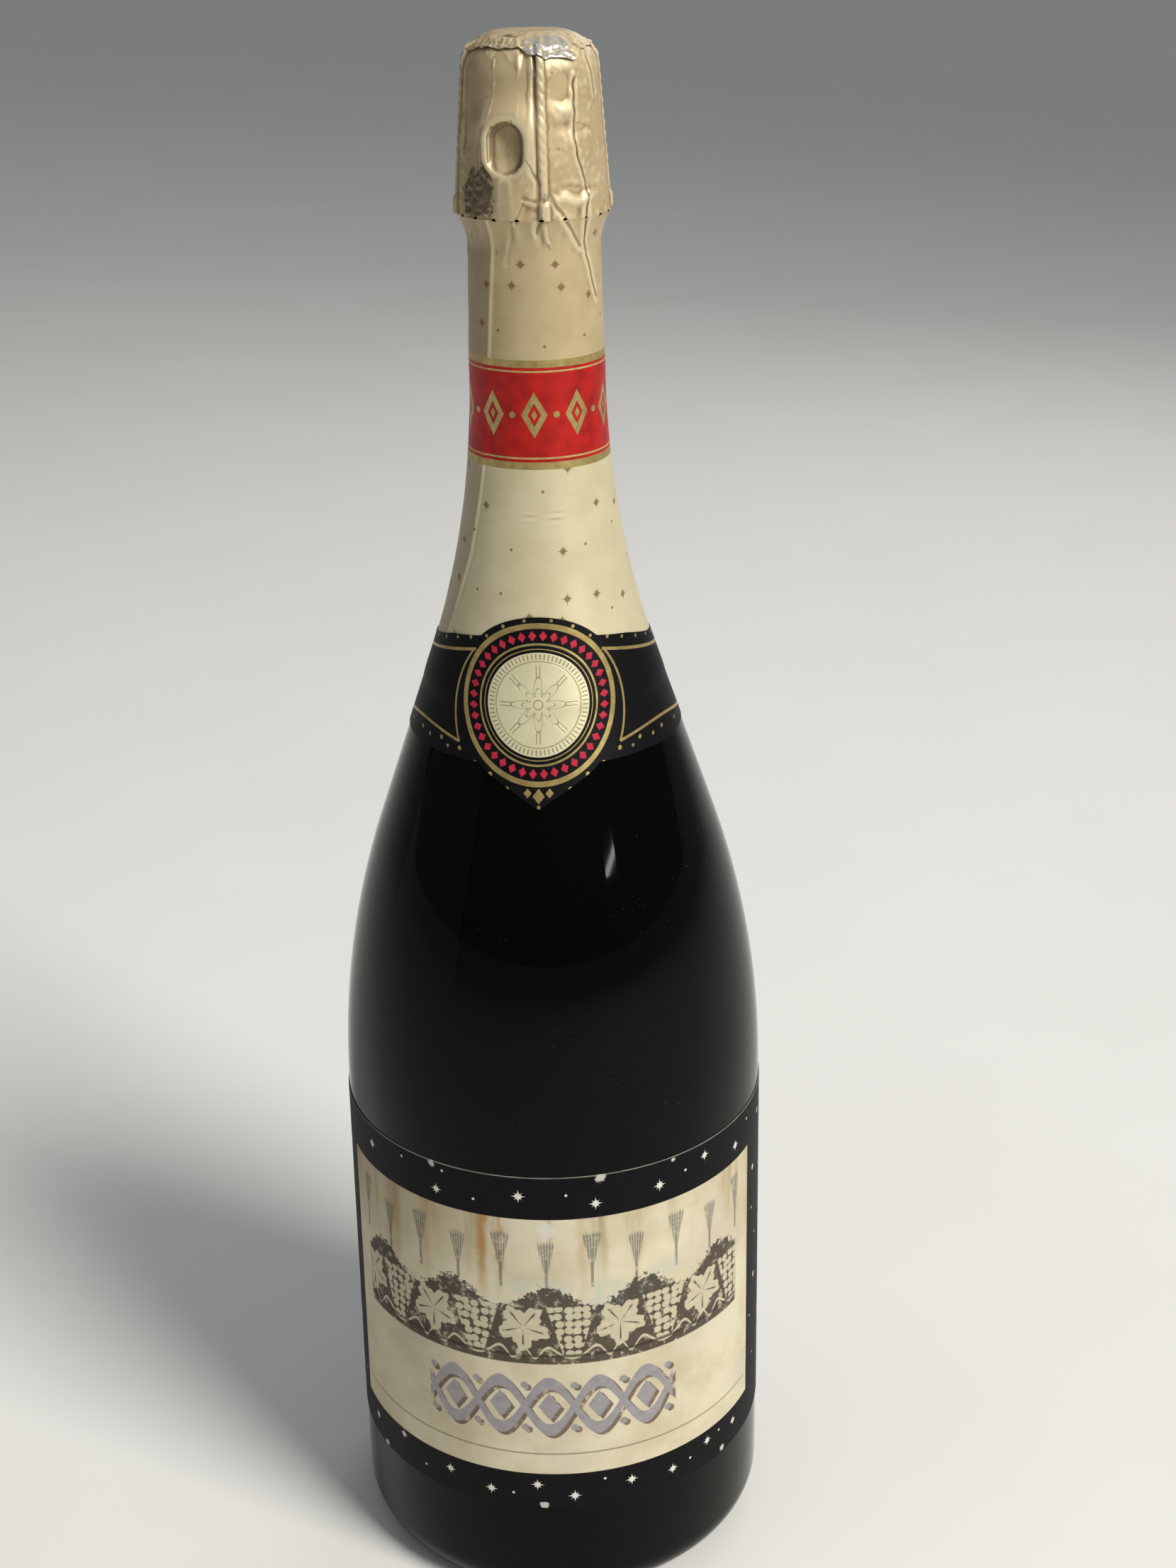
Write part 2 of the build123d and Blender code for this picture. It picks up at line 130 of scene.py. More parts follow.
for sign, operation in {"__add__": "ADD", "__radd__": "ADD", "__sub__": "SUBTRACT", "__mul__": "MULTIPLY",
                        "__rmul__": "MULTIPLY", "__truediv__": "DIVIDE", "__pow__": "POWER",
                        "__mod__": "FLOORED_MODULO", "__abs__": "ABSOLUTE", "__lt__": "LESS_THAN",
                        "__gt__": "GREATER_THAN", "least": "MINIMUM", "most": "MAXIMUM", "sine": "SINE",
                        "cosine": "COSINE"}.items():
    setattr(Flow, sign, lambda self, *others, operation=operation: self.maths(operation, *others))


class Paint:
    """A material under construction, or the world."""

    def __init__(self, name, world=None):
        self.material = world or bpy.data.materials.new(name)
        self.material.use_nodes = True
        self.tree = self.material.node_tree
        self.shader = self.tree.nodes["Background" if world else "Principled BSDF"]

    def node(self, kind, settings, sockets, out=0):
        node = self.tree.nodes.new("ShaderNode" + kind)
        for name, value in settings.items():
            setattr(node, name, value)
        for name, value in sockets.items():
            self.plug(node.inputs[name], value)
        return Flow(self, node.outputs[out])

    def plug(self, socket, value):
        if isinstance(value, Flow):
            self.tree.links.new(value.socket, socket)
        else:
            socket.default_value = tint(value) if isinstance(value, str) else value

    def finish(self, **sockets):
        for name, value in sockets.items():
            self.plug(self.shader.inputs[name.replace("_", " ")], value)
        return self.material

    def place(self, out="Object"):
        return self.node("TexCoord", {}, {}, out)

    def print_place(self):
        """The print's own measures in millimetres: round the bottle, and up it."""
        return self.node("UVMap", {"uv_map": "print"}, {}).parts()[:2]

    def sheet(self, across, up):
        return self.node("CombineXYZ", {}, {0: across, 1: up})

    def field(self, name):
        return self.node("Attribute", {"attribute_name": name}, {}, "Fac")

    def bump(self, height, distance, strength):
        return self.node("Bump", {}, {"Strength": strength, "Distance": distance, "Height": height})


def tint(text):
    """A colour as painters' programs write it, in the numbers that light adds up in."""
    parts = [int(text[k:k + 2], 16) / 255 for k in (0, 2, 4)]
    return tuple(c / 12.92 if c <= 0.04045 else ((c + 0.055) / 1.055) ** 2.4 for c in parts) + (1,)


print("an ivory is", [round(c, 3) for c in tint("e0d9bf")])

# %% [markdown]
# ## Turned pieces
#
# Glass and foil are round, so an outline is spun, as on a lathe: a small plane shrinks to one vertex, which
# is extruded from point to point. Points are in millimetres, each a distance from the axis and a height.

# %% Outline helpers
def arc(centre, radius, start, end, count):
    """Points along an arc, its angles in degrees."""
    angles = np.radians(np.linspace(start, end, count))
    return [(centre[0] + radius * math.cos(a), centre[1] + radius * math.sin(a)) for a in angles]


def run(start, end, count):
    """Points along a straight way."""
    return [tuple(p) for p in np.linspace(start, end, count)]


def rounded(points, radii):
    """The same corners, each with its own round."""
    line = [points[0]]
    for before, corner, after, radius in zip(points, points[1:], points[2:], radii):
        here = np.array(corner)
        back, on = np.array(before) - here, np.array(after) - here
        back, on = back / np.linalg.norm(back), on / np.linalg.norm(on)
        half = math.acos(max(-1, min(1, float(back @ on)))) / 2
        reach = radius / math.tan(half)
        middle = here + (back + on) / np.linalg.norm(back + on) * radius / math.sin(half)
        first, last = here + back * reach - middle, here + on * reach - middle
        for share in np.linspace(0, 1, 5):
            way = first * (1 - share) + last * share
            line.append(tuple(middle + way / np.linalg.norm(way) * radius))
    return line + [points[-1]]


# %% The lathe
def named(name):
    """Names the object that was just added."""
    piece = bpy.context.object
    piece.name = piece.data.name = name
    return piece


def lathe(name, outline, steps):
    """Spins an outline about the upright axis and gives the closed skin."""
    bpy.ops.mesh.primitive_plane_add(size=0.001, location=(0, 0, 0))
    piece = named(name)
    points = [Vector((0, -radius / 1000, height / 1000)) for radius, height in outline]
    bpy.ops.object.mode_set(mode="EDIT")
    bpy.ops.mesh.merge(type="CENTER")
    bpy.ops.transform.translate(value=points[0])
    for before, after in zip(points, points[1:]):
        bpy.ops.mesh.extrude_vertices_move(TRANSFORM_OT_translate={"value": after - before})
    bpy.ops.mesh.select_all(action="SELECT")
    bpy.ops.mesh.spin(steps=steps, angle=math.tau, center=(0, 0, 0), axis=(0, 0, 1))
    bpy.ops.mesh.select_all(action="SELECT")
    bpy.ops.mesh.remove_doubles(threshold=0.000004)
    bpy.ops.mesh.normals_make_consistent(inside=False)
    bpy.ops.object.mode_set(mode="OBJECT")
    bpy.ops.object.shade_smooth()
    print(name, len(piece.data.vertices), "vertices")
    return piece


def corners(piece):
    """The vertices as an array of points in metres."""
    points = np.empty(len(piece.data.vertices) * 3)
    piece.data.vertices.foreach_get("co", points)
    return points.reshape(-1, 3)


def move(piece, points):
    piece.data.vertices.foreach_set("co", points.ravel())
    piece.data.update()


def put_round(piece, turns, reach, heights):
    """Puts the vertices at their turns, distances from the axis and heights in millimetres."""
    angle = np.radians(turns)
    points = np.stack([np.sin(angle) * reach, -np.cos(angle) * reach, heights], axis=1) / 1000
    move(piece, points)


def turn_of(points):
    """How far round the bottle, in degrees from the front."""
    return np.degrees(np.arctan2(points[:, 0], -points[:, 1]))


def reach_of(points):
    """Millimetres from the axis."""
    return np.hypot(points[:, 0], points[:, 1]) * 1000


# %% Outward faces and thickness
def face_out(piece):
    """Turns an open skin over if its faces look at the axis."""
    look = sum(face.normal.xy.dot(face.center.xy) * face.area for face in piece.data.polygons)
    if look < 0:
        bpy.ops.object.mode_set(mode="EDIT")
        bpy.ops.mesh.select_all(action="SELECT")
        bpy.ops.mesh.flip_normals()
        bpy.ops.object.mode_set(mode="OBJECT")


def thicken(piece, sheet):
    """Gives an open skin its thickness in millimetres, inwards."""
    bpy.ops.object.select_all(action="DESELECT")
    bpy.context.view_layer.objects.active = piece
    piece.select_set(True)
    wall = piece.modifiers.new("thickness", "SOLIDIFY")
    wall.thickness, wall.offset = sheet / 1000, -1
    bpy.ops.object.modifier_apply(modifier=wall.name)
    bpy.ops.object.shade_smooth_by_angle(angle=math.radians(50))


# %% [markdown]
# ## Fields on a piece
#
# The print's measures go into a UV map in millimetres, so that a star is as wide at the neck as on the body.
# How hollow the surface is at each point goes into an attribute, because the foil paint puts painted shade in
# hollows and a painted highlight on ridges.

# %% Print measures and hollows
def lay_print(piece, measure):
    """A UV map in millimetres, measured from the turn, the distance from the axis and the height."""
    mesh = piece.data
    points = corners(piece)
    loops = np.empty(len(mesh.loops), int)
    mesh.loops.foreach_get("vertex_index", loops)
    owner = np.repeat(np.arange(len(mesh.polygons)), [len(face.vertices) for face in mesh.polygons])
    turn = turn_of(points)[loops]
    highest = np.full(len(mesh.polygons), -999.0)
    np.maximum.at(highest, owner, turn)
    turn = np.where(highest[owner] - turn > 180, turn + 360, turn)
    across, up = measure(turn, reach_of(points)[loops], points[loops, 2] * 1000)
    layer = mesh.uv_layers.new(name="print")
    layer.data.foreach_set("uv", np.stack([across, up], axis=1).ravel())


def keep_field(piece, name, values):
    """Keeps one number for each vertex."""
    piece.data.attributes.new(name, "FLOAT", "POINT").data.foreach_set("value", values.astype(np.float32))


def keep_hollows(piece, rounds):
    """How far each vertex lies below its neighbours, in hundredths of a millimetre."""
    mesh = piece.data
    points = corners(piece)
    edges = np.empty(len(mesh.edges) * 2, int)
    mesh.edges.foreach_get("vertices", edges)
    a, b = edges.reshape(-1, 2).T
    count = np.bincount(np.concatenate([a, b]), minlength=len(points))[:, None]
    spread = points.copy()
    for _ in range(rounds):
        total = np.zeros_like(spread)
        np.add.at(total, a, spread[b])
        np.add.at(total, b, spread[a])
        spread = total / count
    facing = np.empty(len(points) * 3)
    mesh.vertex_normals.foreach_get("vector", facing)
    depth = ((spread - points) * facing.reshape(-1, 3)).sum(axis=1)
    keep_field(piece, "hollow", depth * 100000)


def keep_marks(piece, rounds, crease, worn):
    """The three fields that foil paint reads."""
    keep_hollows(piece, rounds)
    keep_field(piece, "crease", crease)
    keep_field(piece, "worn", worn)


# %% [markdown]
# ## The glass
#
# A magnum is blown from dark green glass, thick at the foot and pushed up in the middle. The CAD outline is
# drawn again with its arcs cut fine, and spun in many steps, so that no facet breaks a reflection. The finish
# at the mouth has the ring that the wire cage grips.

# %% The outline of the glass
shoulder_bend, neck_bend, wall = 221, 217.6, 5.3
shoulder_centre, neck_centre = (54.4 - shoulder_bend, 136.2), (15.64 + neck_bend, 322.16)
outline = arc((0, 20), 14, 90, -3.2, 14) + rounded([(14, 19.2), (42.8, 0), (44.2, 0)], [0.6])[1:]
outline += arc((44.2, 11), 11, -90, 0, 12) + run((55.2, 11), (54.4, 136.2), 12)[1:]
flank_first = len(outline)
outline += arc(shoulder_centre, shoulder_bend, 0, 19, 22)[1:] + arc(neck_centre, neck_bend, 199, 180, 22)
outline += run((15.64, 322.16), (14.9, 352.16), 6)[1:]
outline += rounded([(14.9, 352.16), (14.3, 354.76), (14.3, 359.56), (15.6, 359.56), (15.6, 366.56),
                    (13, 366.56), (13, 368.96), (14.35, 368.96), (14.35, 375.46), (8.9, 375.46),
                    (8.9, 345.46)],
                   [1.3, 0.25, 0.5, 0.5, 0.6, 0.6, 0.6, 1.6, 1])[1:]
inner_flank = [(r - wall * math.cos(math.radians(a)), z - wall * math.sin(math.radians(a)))
               for (r, z), a in zip(arc(neck_centre, neck_bend, 180, 199, 10), np.linspace(0, 19, 10))]
outline += inner_flank + arc(shoulder_centre, 215.7, 19, 0, 12)
outline += [(49.9, 24), (48.6, 19.6), (45.6, 17.4), (40, 18.6)] + arc((0, 20), 22, 4, 90, 12)
print("outline of", len(outline), "points, highest", max(p[1] for p in outline))

# %% The glass is spun
glass = lathe("glass", outline, 160)
bpy.ops.object.shade_smooth_by_angle(angle=math.radians(40))
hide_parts("glass_bottle")
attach(glass, "bottle")

# %% [markdown]
# A full bottle of such dark glass shows no light through it, so it is painted nearly black, with a trace of
# green and sharp reflections. Fine dust and rubbed patches dull them here and there.

# %% Dark glass
paint = Paint("dark_glass")
place = paint.place()
cloud = place.grain(28, 4, 0.6).rise(0.45, 0.75)
rub = place.stretch(90, 90, 12).grain(4, 5, 0.7).rise(0.6, 0.8)
dust = place.grain(1500, 1).rise(0.74, 0.8) * cloud
glass.data.materials.append(paint.finish(
    Base_Color=(dust * 0.25).between("040604", "8d8f8a"), IOR=1.5, Specular_IOR_Level=0.11,
    Roughness=0.035 + cloud * 0.03 + rub * 0.06 + dust * 0.3))
print("glass is painted")

# %% [markdown]
# ## Relief in foil
#
# The foil over the cork is tin as thin as paper, pressed over the cage, so it shows the twisted legs, the
# eyelets and the folded key, and creases where it has too much room. Tin keeps sharp folds, so each form is
# written as a height over the turned skin and added.

# %% Shapes to add up
wrap_reach = 16.5        # the foil's middling distance from the axis


def bell(x, width):
    return np.exp(-(x / width) ** 2)


def plateau(x, flat, fall):
    """1 within flat, then a bell's flank."""
    return np.exp(-(np.maximum(np.abs(x) - flat, 0) / fall) ** 2)


def ease(x, low, high):
    share = np.clip((x - low) / (high - low), 0, 1)
    return share * share * (3 - 2 * share)


def every(x, pitch):
    """How far from the nearest of marks that stand a pitch apart."""
    return (x + pitch / 2) % pitch - pitch / 2


def from_turn(turns, turn):
    """Degrees from a turn, the short way round."""
    return every(turns - turn, 360)


def from_side(turns, turn, reach):
    """Millimetres from a turn, round the bottle."""
    return np.radians(from_turn(turns, turn)) * reach


def from_line(across, up, line):
    """Distance to a broken line in millimetres, and which side of it a point lies on."""
    nearest, side = np.full(len(across), 1e9), np.zeros(len(across))
    for (x0, z0), (x1, z1) in zip(line, line[1:]):
        dx, dz = x1 - x0, z1 - z0
        share = np.clip(((across - x0) * dx + (up - z0) * dz) / (dx * dx + dz * dz), 0, 1)
        gap = np.hypot(across - x0 - share * dx, up - z0 - share * dz)
        closer = gap < nearest
        side = np.where(closer, np.sign((across - x0) * dz - (up - z0) * dx), side)
        nearest = np.minimum(nearest, gap)
    return nearest, side


def places(turns, heights, size):
    """Places on the wrap for a noise whose lumps have a size in millimetres."""
    angle, reach = np.radians(turns), wrap_reach / size
    return zip(np.cos(angle) * reach, np.sin(angle) * reach, heights / size)


def rough_noise(turns, heights, size, seed):
    """Noise over the wrap, about -1 to 1."""
    points = [Vector((x + seed, y - seed, z)) for x, y, z in places(turns, heights, size)]
    return np.array([noise.noise(point) for point in points]) * 1.6


def crumple(turns, heights, size, seed):
    """Sharp ridges between flat facets, as crushed tin has, 0 in a facet and 1 on a ridge."""
    gaps = [noise.voronoi(Vector((x + seed, y, z)))[0] for x, y, z in places(turns, heights, size)]
    return 1 - np.clip(np.array([far - near for near, far, *_ in gaps]) * 1.6, 0, 1)


# %% [markdown]
# Creases are drawn once for both foils, because some run across the tear line. Each is a broken line of turns
# and heights with a depth, a width and how dark the painted shade along it is.

# %% The creases
creases = [
    ([(41.5, 387), (39.5, 381), (39, 374), (41.5, 369), (47, 365.3), (49, 362)], 0.36, 0.3, 1),
    ([(50, 361.8), (46.5, 358), (50, 352), (56, 346), (66, 339)], 0.38, 0.36, 1),
    ([(16, 362.4), (25, 358.6), (33, 355), (44, 351)], 0.3, 0.36, 0.45),
    ([(-0.5, 370.5), (3.5, 367.5), (8.3, 364.8)], 0.4, 0.36, 0.9),
    ([(7.6, 393.5), (8, 391), (8.6, 388.6)], 0.45, 0.3, 1),
    ([(-31, 378), (-28, 382), (-27.5, 387), (-29, 391)], -0.55, 0.55, 0),
    ([(-6, 378), (-7, 385), (-6, 392)], -0.45, 0.6, 0),
    ([(-25.5, 391), (-24, 388.5), (-20.5, 387)], -0.38, 0.4, 0),
    ([(-39, 369), (-40, 371.5), (-39, 374)], -0.45, 0.45, 0),
    ([(-24, 361.9), (-8, 362.5), (5, 361.4)], 0.25, 0.45, 0.35),
    ([(-5, 361), (-7.5, 358.6), (-9, 357)], 0.22, 0.3, 0.8),
    ([(9.5, 360), (9, 357.5), (5.5, 354.5)], 0.24, 0.34, 0.6),
    ([(10.5, 356.4), (13, 353.8), (15, 352.3)], -0.24, 0.4, 0),
    ([(-12, 357), (-15, 353), (-20, 348)], 0.08, 0.4, 0),
    ([(62, 391), (66, 384), (70, 380), (69, 374)], 0.26, 0.4, 0.3),
    ([(120, 390), (126, 383), (124, 376), (131, 370)], 0.28, 0.34, 0.6),
    ([(150, 388), (158, 380), (163, 371), (160, 364)], 0.26, 0.34, 0.8),
    ([(172, 362), (181, 357), (186, 351), (190, 342)], 0.28, 0.34, 0.7),
    ([(205, 391), (211, 384), (208, 377), (215, 371)], 0.26, 0.34, 0.5),
    ([(232, 386), (238, 378), (246, 372), (245, 365)], 0.28, 0.34, 0.7),
    ([(262, 360), (268, 355), (272, 349)], 0.24, 0.34, 0.5),
    ([(-66, 389), (-62, 381), (-64, 372)], 0.24, 0.45, 0.2),
    ([(-90, 386), (-94, 376), (-92, 368)], 0.24, 0.4, 0.3),
    ([(97, 357), (104, 352), (108, 345)], 0.22, 0.32, 0.4),
]


def creased(turns, heights):
    """Height to add for all creases, and how dark their painted shade line is."""
    rise, line_mark = np.zeros(len(turns)), np.zeros(len(turns))
    wander = 0.28 * rough_noise(turns, heights, 2.8, 41)
    for line, depth, width, painted_shade in creases:
        middle = line[len(line) // 2][0]
        across = from_side(turns, middle, wrap_reach) + wander
        near = np.abs(across) < 14
        path = [(from_side(turn, middle, wrap_reach), height) for turn, height in line]
        gap, side = from_line(across[near], heights[near], path)
        lip = 0.62 * depth * bell(gap - 2.6 * width, 2.2 * width) * (side > 0)
        rise[near] += lip - depth * bell(gap, width)
        line_mark[near] = np.maximum(line_mark[near], bell(gap, width * 0.75) * painted_shade)
    return rise, line_mark


print(len(creases), "creases")

# %% [markdown]
# The hood domes over the cap and runs down to the tear line. A place on it is given by its turn and its run:
# the height on the skirt, and on the dome the height it would have if the dome were rolled out straight. Each
# dent has a turn and a run, a half width and a half height in millimetres, and how far it goes out.

# %% The hood's plain skin
leg_turns = (11.5, 101.5, 191.5, 281.5)
bend_reach, bend_height, bend_radius = 10.9, 389.49, 4.72        # where the legs bend over the cap
key_turn, eye_low, eye_high, eye_radius = -17.3, 370.96, 374.36, 4.55
skirt_low, skirt_reach, skirt_slope = 357.46, 17.4, 2.1 / 29.54
dome_middle, dome_low, dome_bend = 6.1, 387, 9.2
dome_run = dome_bend * math.pi / 2
dents = [
    (27, 385.5, 2.6, 3.4, -0.7), (29, 379.8, 3, 2.2, 0.38), (45, 376.4, 6, 1.3, -0.4),
    (30, 371.5, 3.2, 4, 0.35), (38, 363.6, 6, 1.3, -0.45), (40, 361.1, 6, 1.3, 0.28), (56, 384, 4, 4, 0.3),
    (74, 378, 4, 5, -0.45), (-16.5, 384.8, 3.2, 5.2, -1.1), (-50, 380, 6.5, 16, -0.65),
    (-70, 372, 3, 12, 0.45), (-34, 375, 1, 7, -0.45), (-3.2, 378.5, 1.2, 9, -0.75), (2.2, 376, 1.4, 14, 0.45),
    (7.9, 379, 0.7, 13, -0.95), (-8, 365.6, 3.2, 1.6, -0.55), (-9, 363.7, 4.5, 0.9, 0.3),
    (-2, 359.6, 5, 1, -0.35), (130, 384, 6, 4, -0.5), (150, 374, 7, 3, 0.45), (142, 366, 7, 2, -0.45),
    (168, 385, 5, 4, -0.45), (165, 362, 8, 1.5, -0.5), (215, 384, 6, 4, -0.5), (235, 373, 7, 3, 0.45),
    (225, 366, 6, 2, -0.45), (255, 384, 5, 5, -0.45), (250, 362, 8, 1.5, -0.5), (120, 361.8, 6, 1.3, -0.45),
]


def from_top(run):
    """The run seen from the top: millimetres from the axis over the dome. It is its own inverse."""
    return dome_middle + dome_run + dome_low - run


def plain_skin(run):
    """The distance from the axis, the height and the slope of the hood's plain skin at a run."""
    slope = np.clip((run - dome_low) / dome_bend, 0, math.pi / 2)
    past = np.maximum(run - dome_low - dome_run, 0)
    reach = np.where(run < dome_low, skirt_reach - (run - skirt_low) * skirt_slope,
                     dome_middle + dome_bend * np.cos(slope) - past)
    return reach, np.where(run < dome_low, run, dome_low + dome_bend * np.sin(slope)), slope


# %% What presses it out and in
def over(one, other, soft):
    """The higher of two forms, with the foil's own soft bend where they meet."""
    return 0.5 * (one + other + np.sqrt((one - other) ** 2 + soft * soft)) - 0.25 * soft


def leg_ridge(turns, run, turn):
    """How far one twisted leg with its bend and eyelet stands out of the plain skin, or -9."""
    reach, height, slope = plain_skin(run)
    across = from_side(turns, turn, np.maximum(reach, 6))
    rope = 0.1 * np.sin(math.tau * (run / 2.5 + across / 2)) * ease(run, 364.5, 367)
    straight = 14.6 + (389.5 - np.minimum(run, 389.5)) * 2.3 / 29.3 + 1.02 - reach
    inward, upward = bend_reach - reach, bend_height - height
    along, gap = inward * np.cos(slope) + upward * np.sin(slope), inward ** 2 + upward ** 2
    bent = along + np.sqrt(np.maximum(along ** 2 - gap + bend_radius ** 2, 0.01))
    crest = np.where(run < 389.2, straight, np.minimum(bent, straight.max())) + rope
    ridge = (crest + 0.5) * plateau(across, 0.42, 0.6) - 0.5
    eyelet = (18.4 - reach + 0.4) * plateau(across, 0.6, 0.8) * plateau(run - 358.9, 1.3, 1.7) - 0.4
    return np.where(np.abs(across) < 3.2, np.maximum(ridge, eyelet), -9), across


def key_form(out, turns, run):
    """The foil as the folded key presses it: a narrow crest over the wire, and a bowl inside the eye."""
    reach = plain_skin(run)[0]
    side = np.sin(np.radians(from_turn(turns, key_turn))) * reach
    facing = np.abs(from_turn(turns, key_turn)) < 55
    ring = np.hypot(side, run - np.clip(run, eye_low, eye_high)) - eye_radius
    crest = np.hypot(17.5, np.clip(side, -5, 5)) - reach
    wire = 16.72 + np.sqrt(np.clip(0.8 ** 2 - ring ** 2, 0, None))
    wire_top = np.hypot(wire, np.clip(side, -5.3, 5.3)) - reach
    shank = plateau(side, 0.8, 2.6) * ease(run, 370, 365.5) * facing
    out = over(out, -0.3 + (np.hypot(17.75, np.clip(side, -3, 3)) + 0.3 - reach) * shank, 0.3 * shank)
    tent = 0.15 + 0.8 * np.maximum(ease(side, 0, 3.6), ease(run, 372.5, 378.5))
    tail = bell(np.maximum(ring, 0), 0.85) * (1 - tent) + tent * bell(np.maximum(ring, 0), 3.8)
    outer = np.maximum(out + np.maximum(crest - out, 0) * tail, np.where(ring < 0.6, wire_top, -9))
    bowl = -0.45 - 0.65 * bell(side - 1.2, 3) * bell(run - 374, 5) + 0.1 * np.sin(side * 1.5 + run * 0.25)
    bowl += 0.95 * ease(run, 371.5, 366.5) * ease(side, 4, -2)
    sunk = ease(-ring, 0, 1.25 - 0.45 * ease(side, -2, 2)) ** 0.8
    lower_left = ease(side, -2.5, -4.5) * bell(run - 369, 3.4) * facing
    outer += lower_left * (0.55 * bell(ring - 2.1, 0.45) - 0.75 * bell(ring - 1.2, 0.4))
    inner = np.maximum(crest * (1 - sunk) + bowl * sunk, np.where(ring > -0.6, wire_top, -9))
    return np.where(facing & (ring < 0), inner, np.where(facing, outer, out))


def top_fold(turns, run):
    """A wavy fold pressed into the top, left of the front."""
    share = from_top(run)
    return bell(from_turn(turns, -24), 15) * bell(share - 9.7 - 0.4 * np.sin(turns / 3.5), 0.75)


def hood_relief(turns, run):
    """How far the hood stands out of its plain skin, how dark the painted shade in its creases is and how worn
    it is.
    """
    reach = plain_skin(run)[0]
    out = np.zeros(len(turns))

    def rough(size, seed):
        return rough_noise(turns, run, size, seed)

    sway, drift, fine = rough(5, 31), rough(5, 37), rough(3.4, 2)
    for turn, height, wide, tall, depth in dents:
        across = from_side(turns, turn, reach) + 0.7 * sway * min(wide / 3, 1)
        out += depth * bell(across, wide) * bell(run + 0.9 * drift - height, tall)
    rise, line_mark = creased(turns, run)
    fold = top_fold(turns, run)
    out += rise * ease(run, 398.5, 395) - 0.7 * fold
    # The top fold gets a line of painted shade.
    line_mark = np.maximum(line_mark, fold)
    out += 0.13 * fine + 0.05 * rough(1.4, 9)
    patch = np.hypot((from_side(turns, -40, reach) + 1.5) / 5.2, (run - 362.6) / 5.6)
    worn = ease(patch + 0.2 * rough(2.6, 21) + 0.16 * rough(0.9, 23), 1.25, 0.7)
    worn = np.maximum(worn, 0.6 * bell(from_side(turns, 12, reach), 1.5) * bell(run - 361.6, 2.2))
    out += worn * (0.5 * crumple(turns, run, 2.3, 4) + 0.25 * crumple(turns, run, 0.9, 14) - 0.45)
    pleats = np.sin(np.radians(turns) * 26 + 2.2 * fine) + 0.6 * np.sin(np.radians(turns) * 43 + 1.7)
    out += 0.05 * pleats * bell(run - 394.5, 2.4) + 0.07 * pleats * bell(run - 358, 1.2)
    for turn in leg_turns:
        ridge, across = leg_ridge(turns, run, turn)
        out = np.where(ridge > -5, over(out, ridge, 0.16 * bell(across, 1.8)), out)
        bend = bell(across, 1.5) * bell(run - 394.5, 3.4)
        worn = np.maximum(worn, bend * (0.9 if turn < 90 else 0.45))
    front = from_side(turns, leg_turns[0], reach)
    # A line of painted shade runs down beside the front leg.
    line_mark = np.maximum(line_mark, bell(front + 1.4, 0.34) * ease(run, 363, 368) * (run < 393))
    return key_form(out, turns, run), np.clip(line_mark, 0, 1), worn


def tear_notch(turns):
    """How far the edge draws back at the small holes of the tear line."""
    across = np.radians(every(turns - 9, 18)) * 17.4
    return np.sqrt(np.clip(0.45 ** 2 - across ** 2, 0, None))


# %% The hood is spun and pressed
def hood_run(points):
    """The run of each vertex, read back from its height and its distance from the axis."""
    reach, heights = reach_of(points), points[:, 2] * 1000
    slope = np.arctan2(heights - dome_low, reach - dome_middle)
    past = np.maximum(dome_middle - reach, 0)
    return np.where(heights < dome_low, heights, dome_low + np.clip(slope, 0, math.pi / 2) * dome_bend + past)


def press(piece, runs_of, relief_of, stand_off):
    """Moves every vertex of a skin to its pressed place; gives turns, runs and marks."""
    points = corners(piece)
    turns, run = turn_of(points), runs_of(points)
    out, line_mark, worn = relief_of(turns, run)
    reach, height, slope = plain_skin(run)
    reach = reach + (out + stand_off) * np.cos(slope)
    height = height + (out + stand_off) * np.sin(slope)
    put_round(piece, turns, reach, height)
    print(f"{piece.name} reaches {reach.max():.2f} mm out and {height.max():.2f} up")
    return turns, run, line_mark, worn


skirt_runs = np.concatenate([np.linspace(dome_low + dome_run + 0.6, dome_low, 40),
                             np.linspace(dome_low, 357.32, 92)[1:]])
hood = lathe("hood", list(zip(*plain_skin(skirt_runs)[:2])), 320)
face_out(hood)
turns, rolled, line_mark, worn = press(hood, hood_run, hood_relief, 0)
drawn = corners(hood)
drawn[:, 2] += np.where(rolled < 357.9, tear_notch(turns), 0) / 1000
move(hood, drawn)

# %% Its fields and thickness
keep_marks(hood, 4, line_mark, worn)
lay_print(hood, lambda turn, reach, height: (np.radians(turn) * 16.4, height))
thicken(hood, 0.16)
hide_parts("foil_hood")
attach(hood, "hood")

# %% [markdown]
# ## The disc on top
#
# A round of the same tin closes the hood. It has been knocked, so its edge is ragged, curls up in places and
# is rubbed to bare metal in front. It is pressed with the hood's forms, a little further out.

# %% The top disc
disc_radius = 17       # as it is spun, before its edge is drawn in


def disc_reach(turns):
    """How far the disc runs from the axis before it ends, at each turn."""
    level = turns * 0
    ragged = rough_noise(turns, level, 3, 1) * 0.55 + rough_noise(turns, level, 7.5, 6) * 0.5
    longer = 1.9 * plateau(from_turn(turns, 24), 18, 8) - 0.8 * plateau(from_turn(turns, -24), 20, 8)
    return 14.6 + ragged + longer


def disc_run(points):
    """The run of each vertex of the disc: its rings are drawn in to where the disc ends at that turn."""
    share = from_top(hood_run(points))
    edge = disc_reach(turn_of(points))
    return from_top(share * (1 + (edge / disc_radius - 1) * ease(share, 6, 16)))


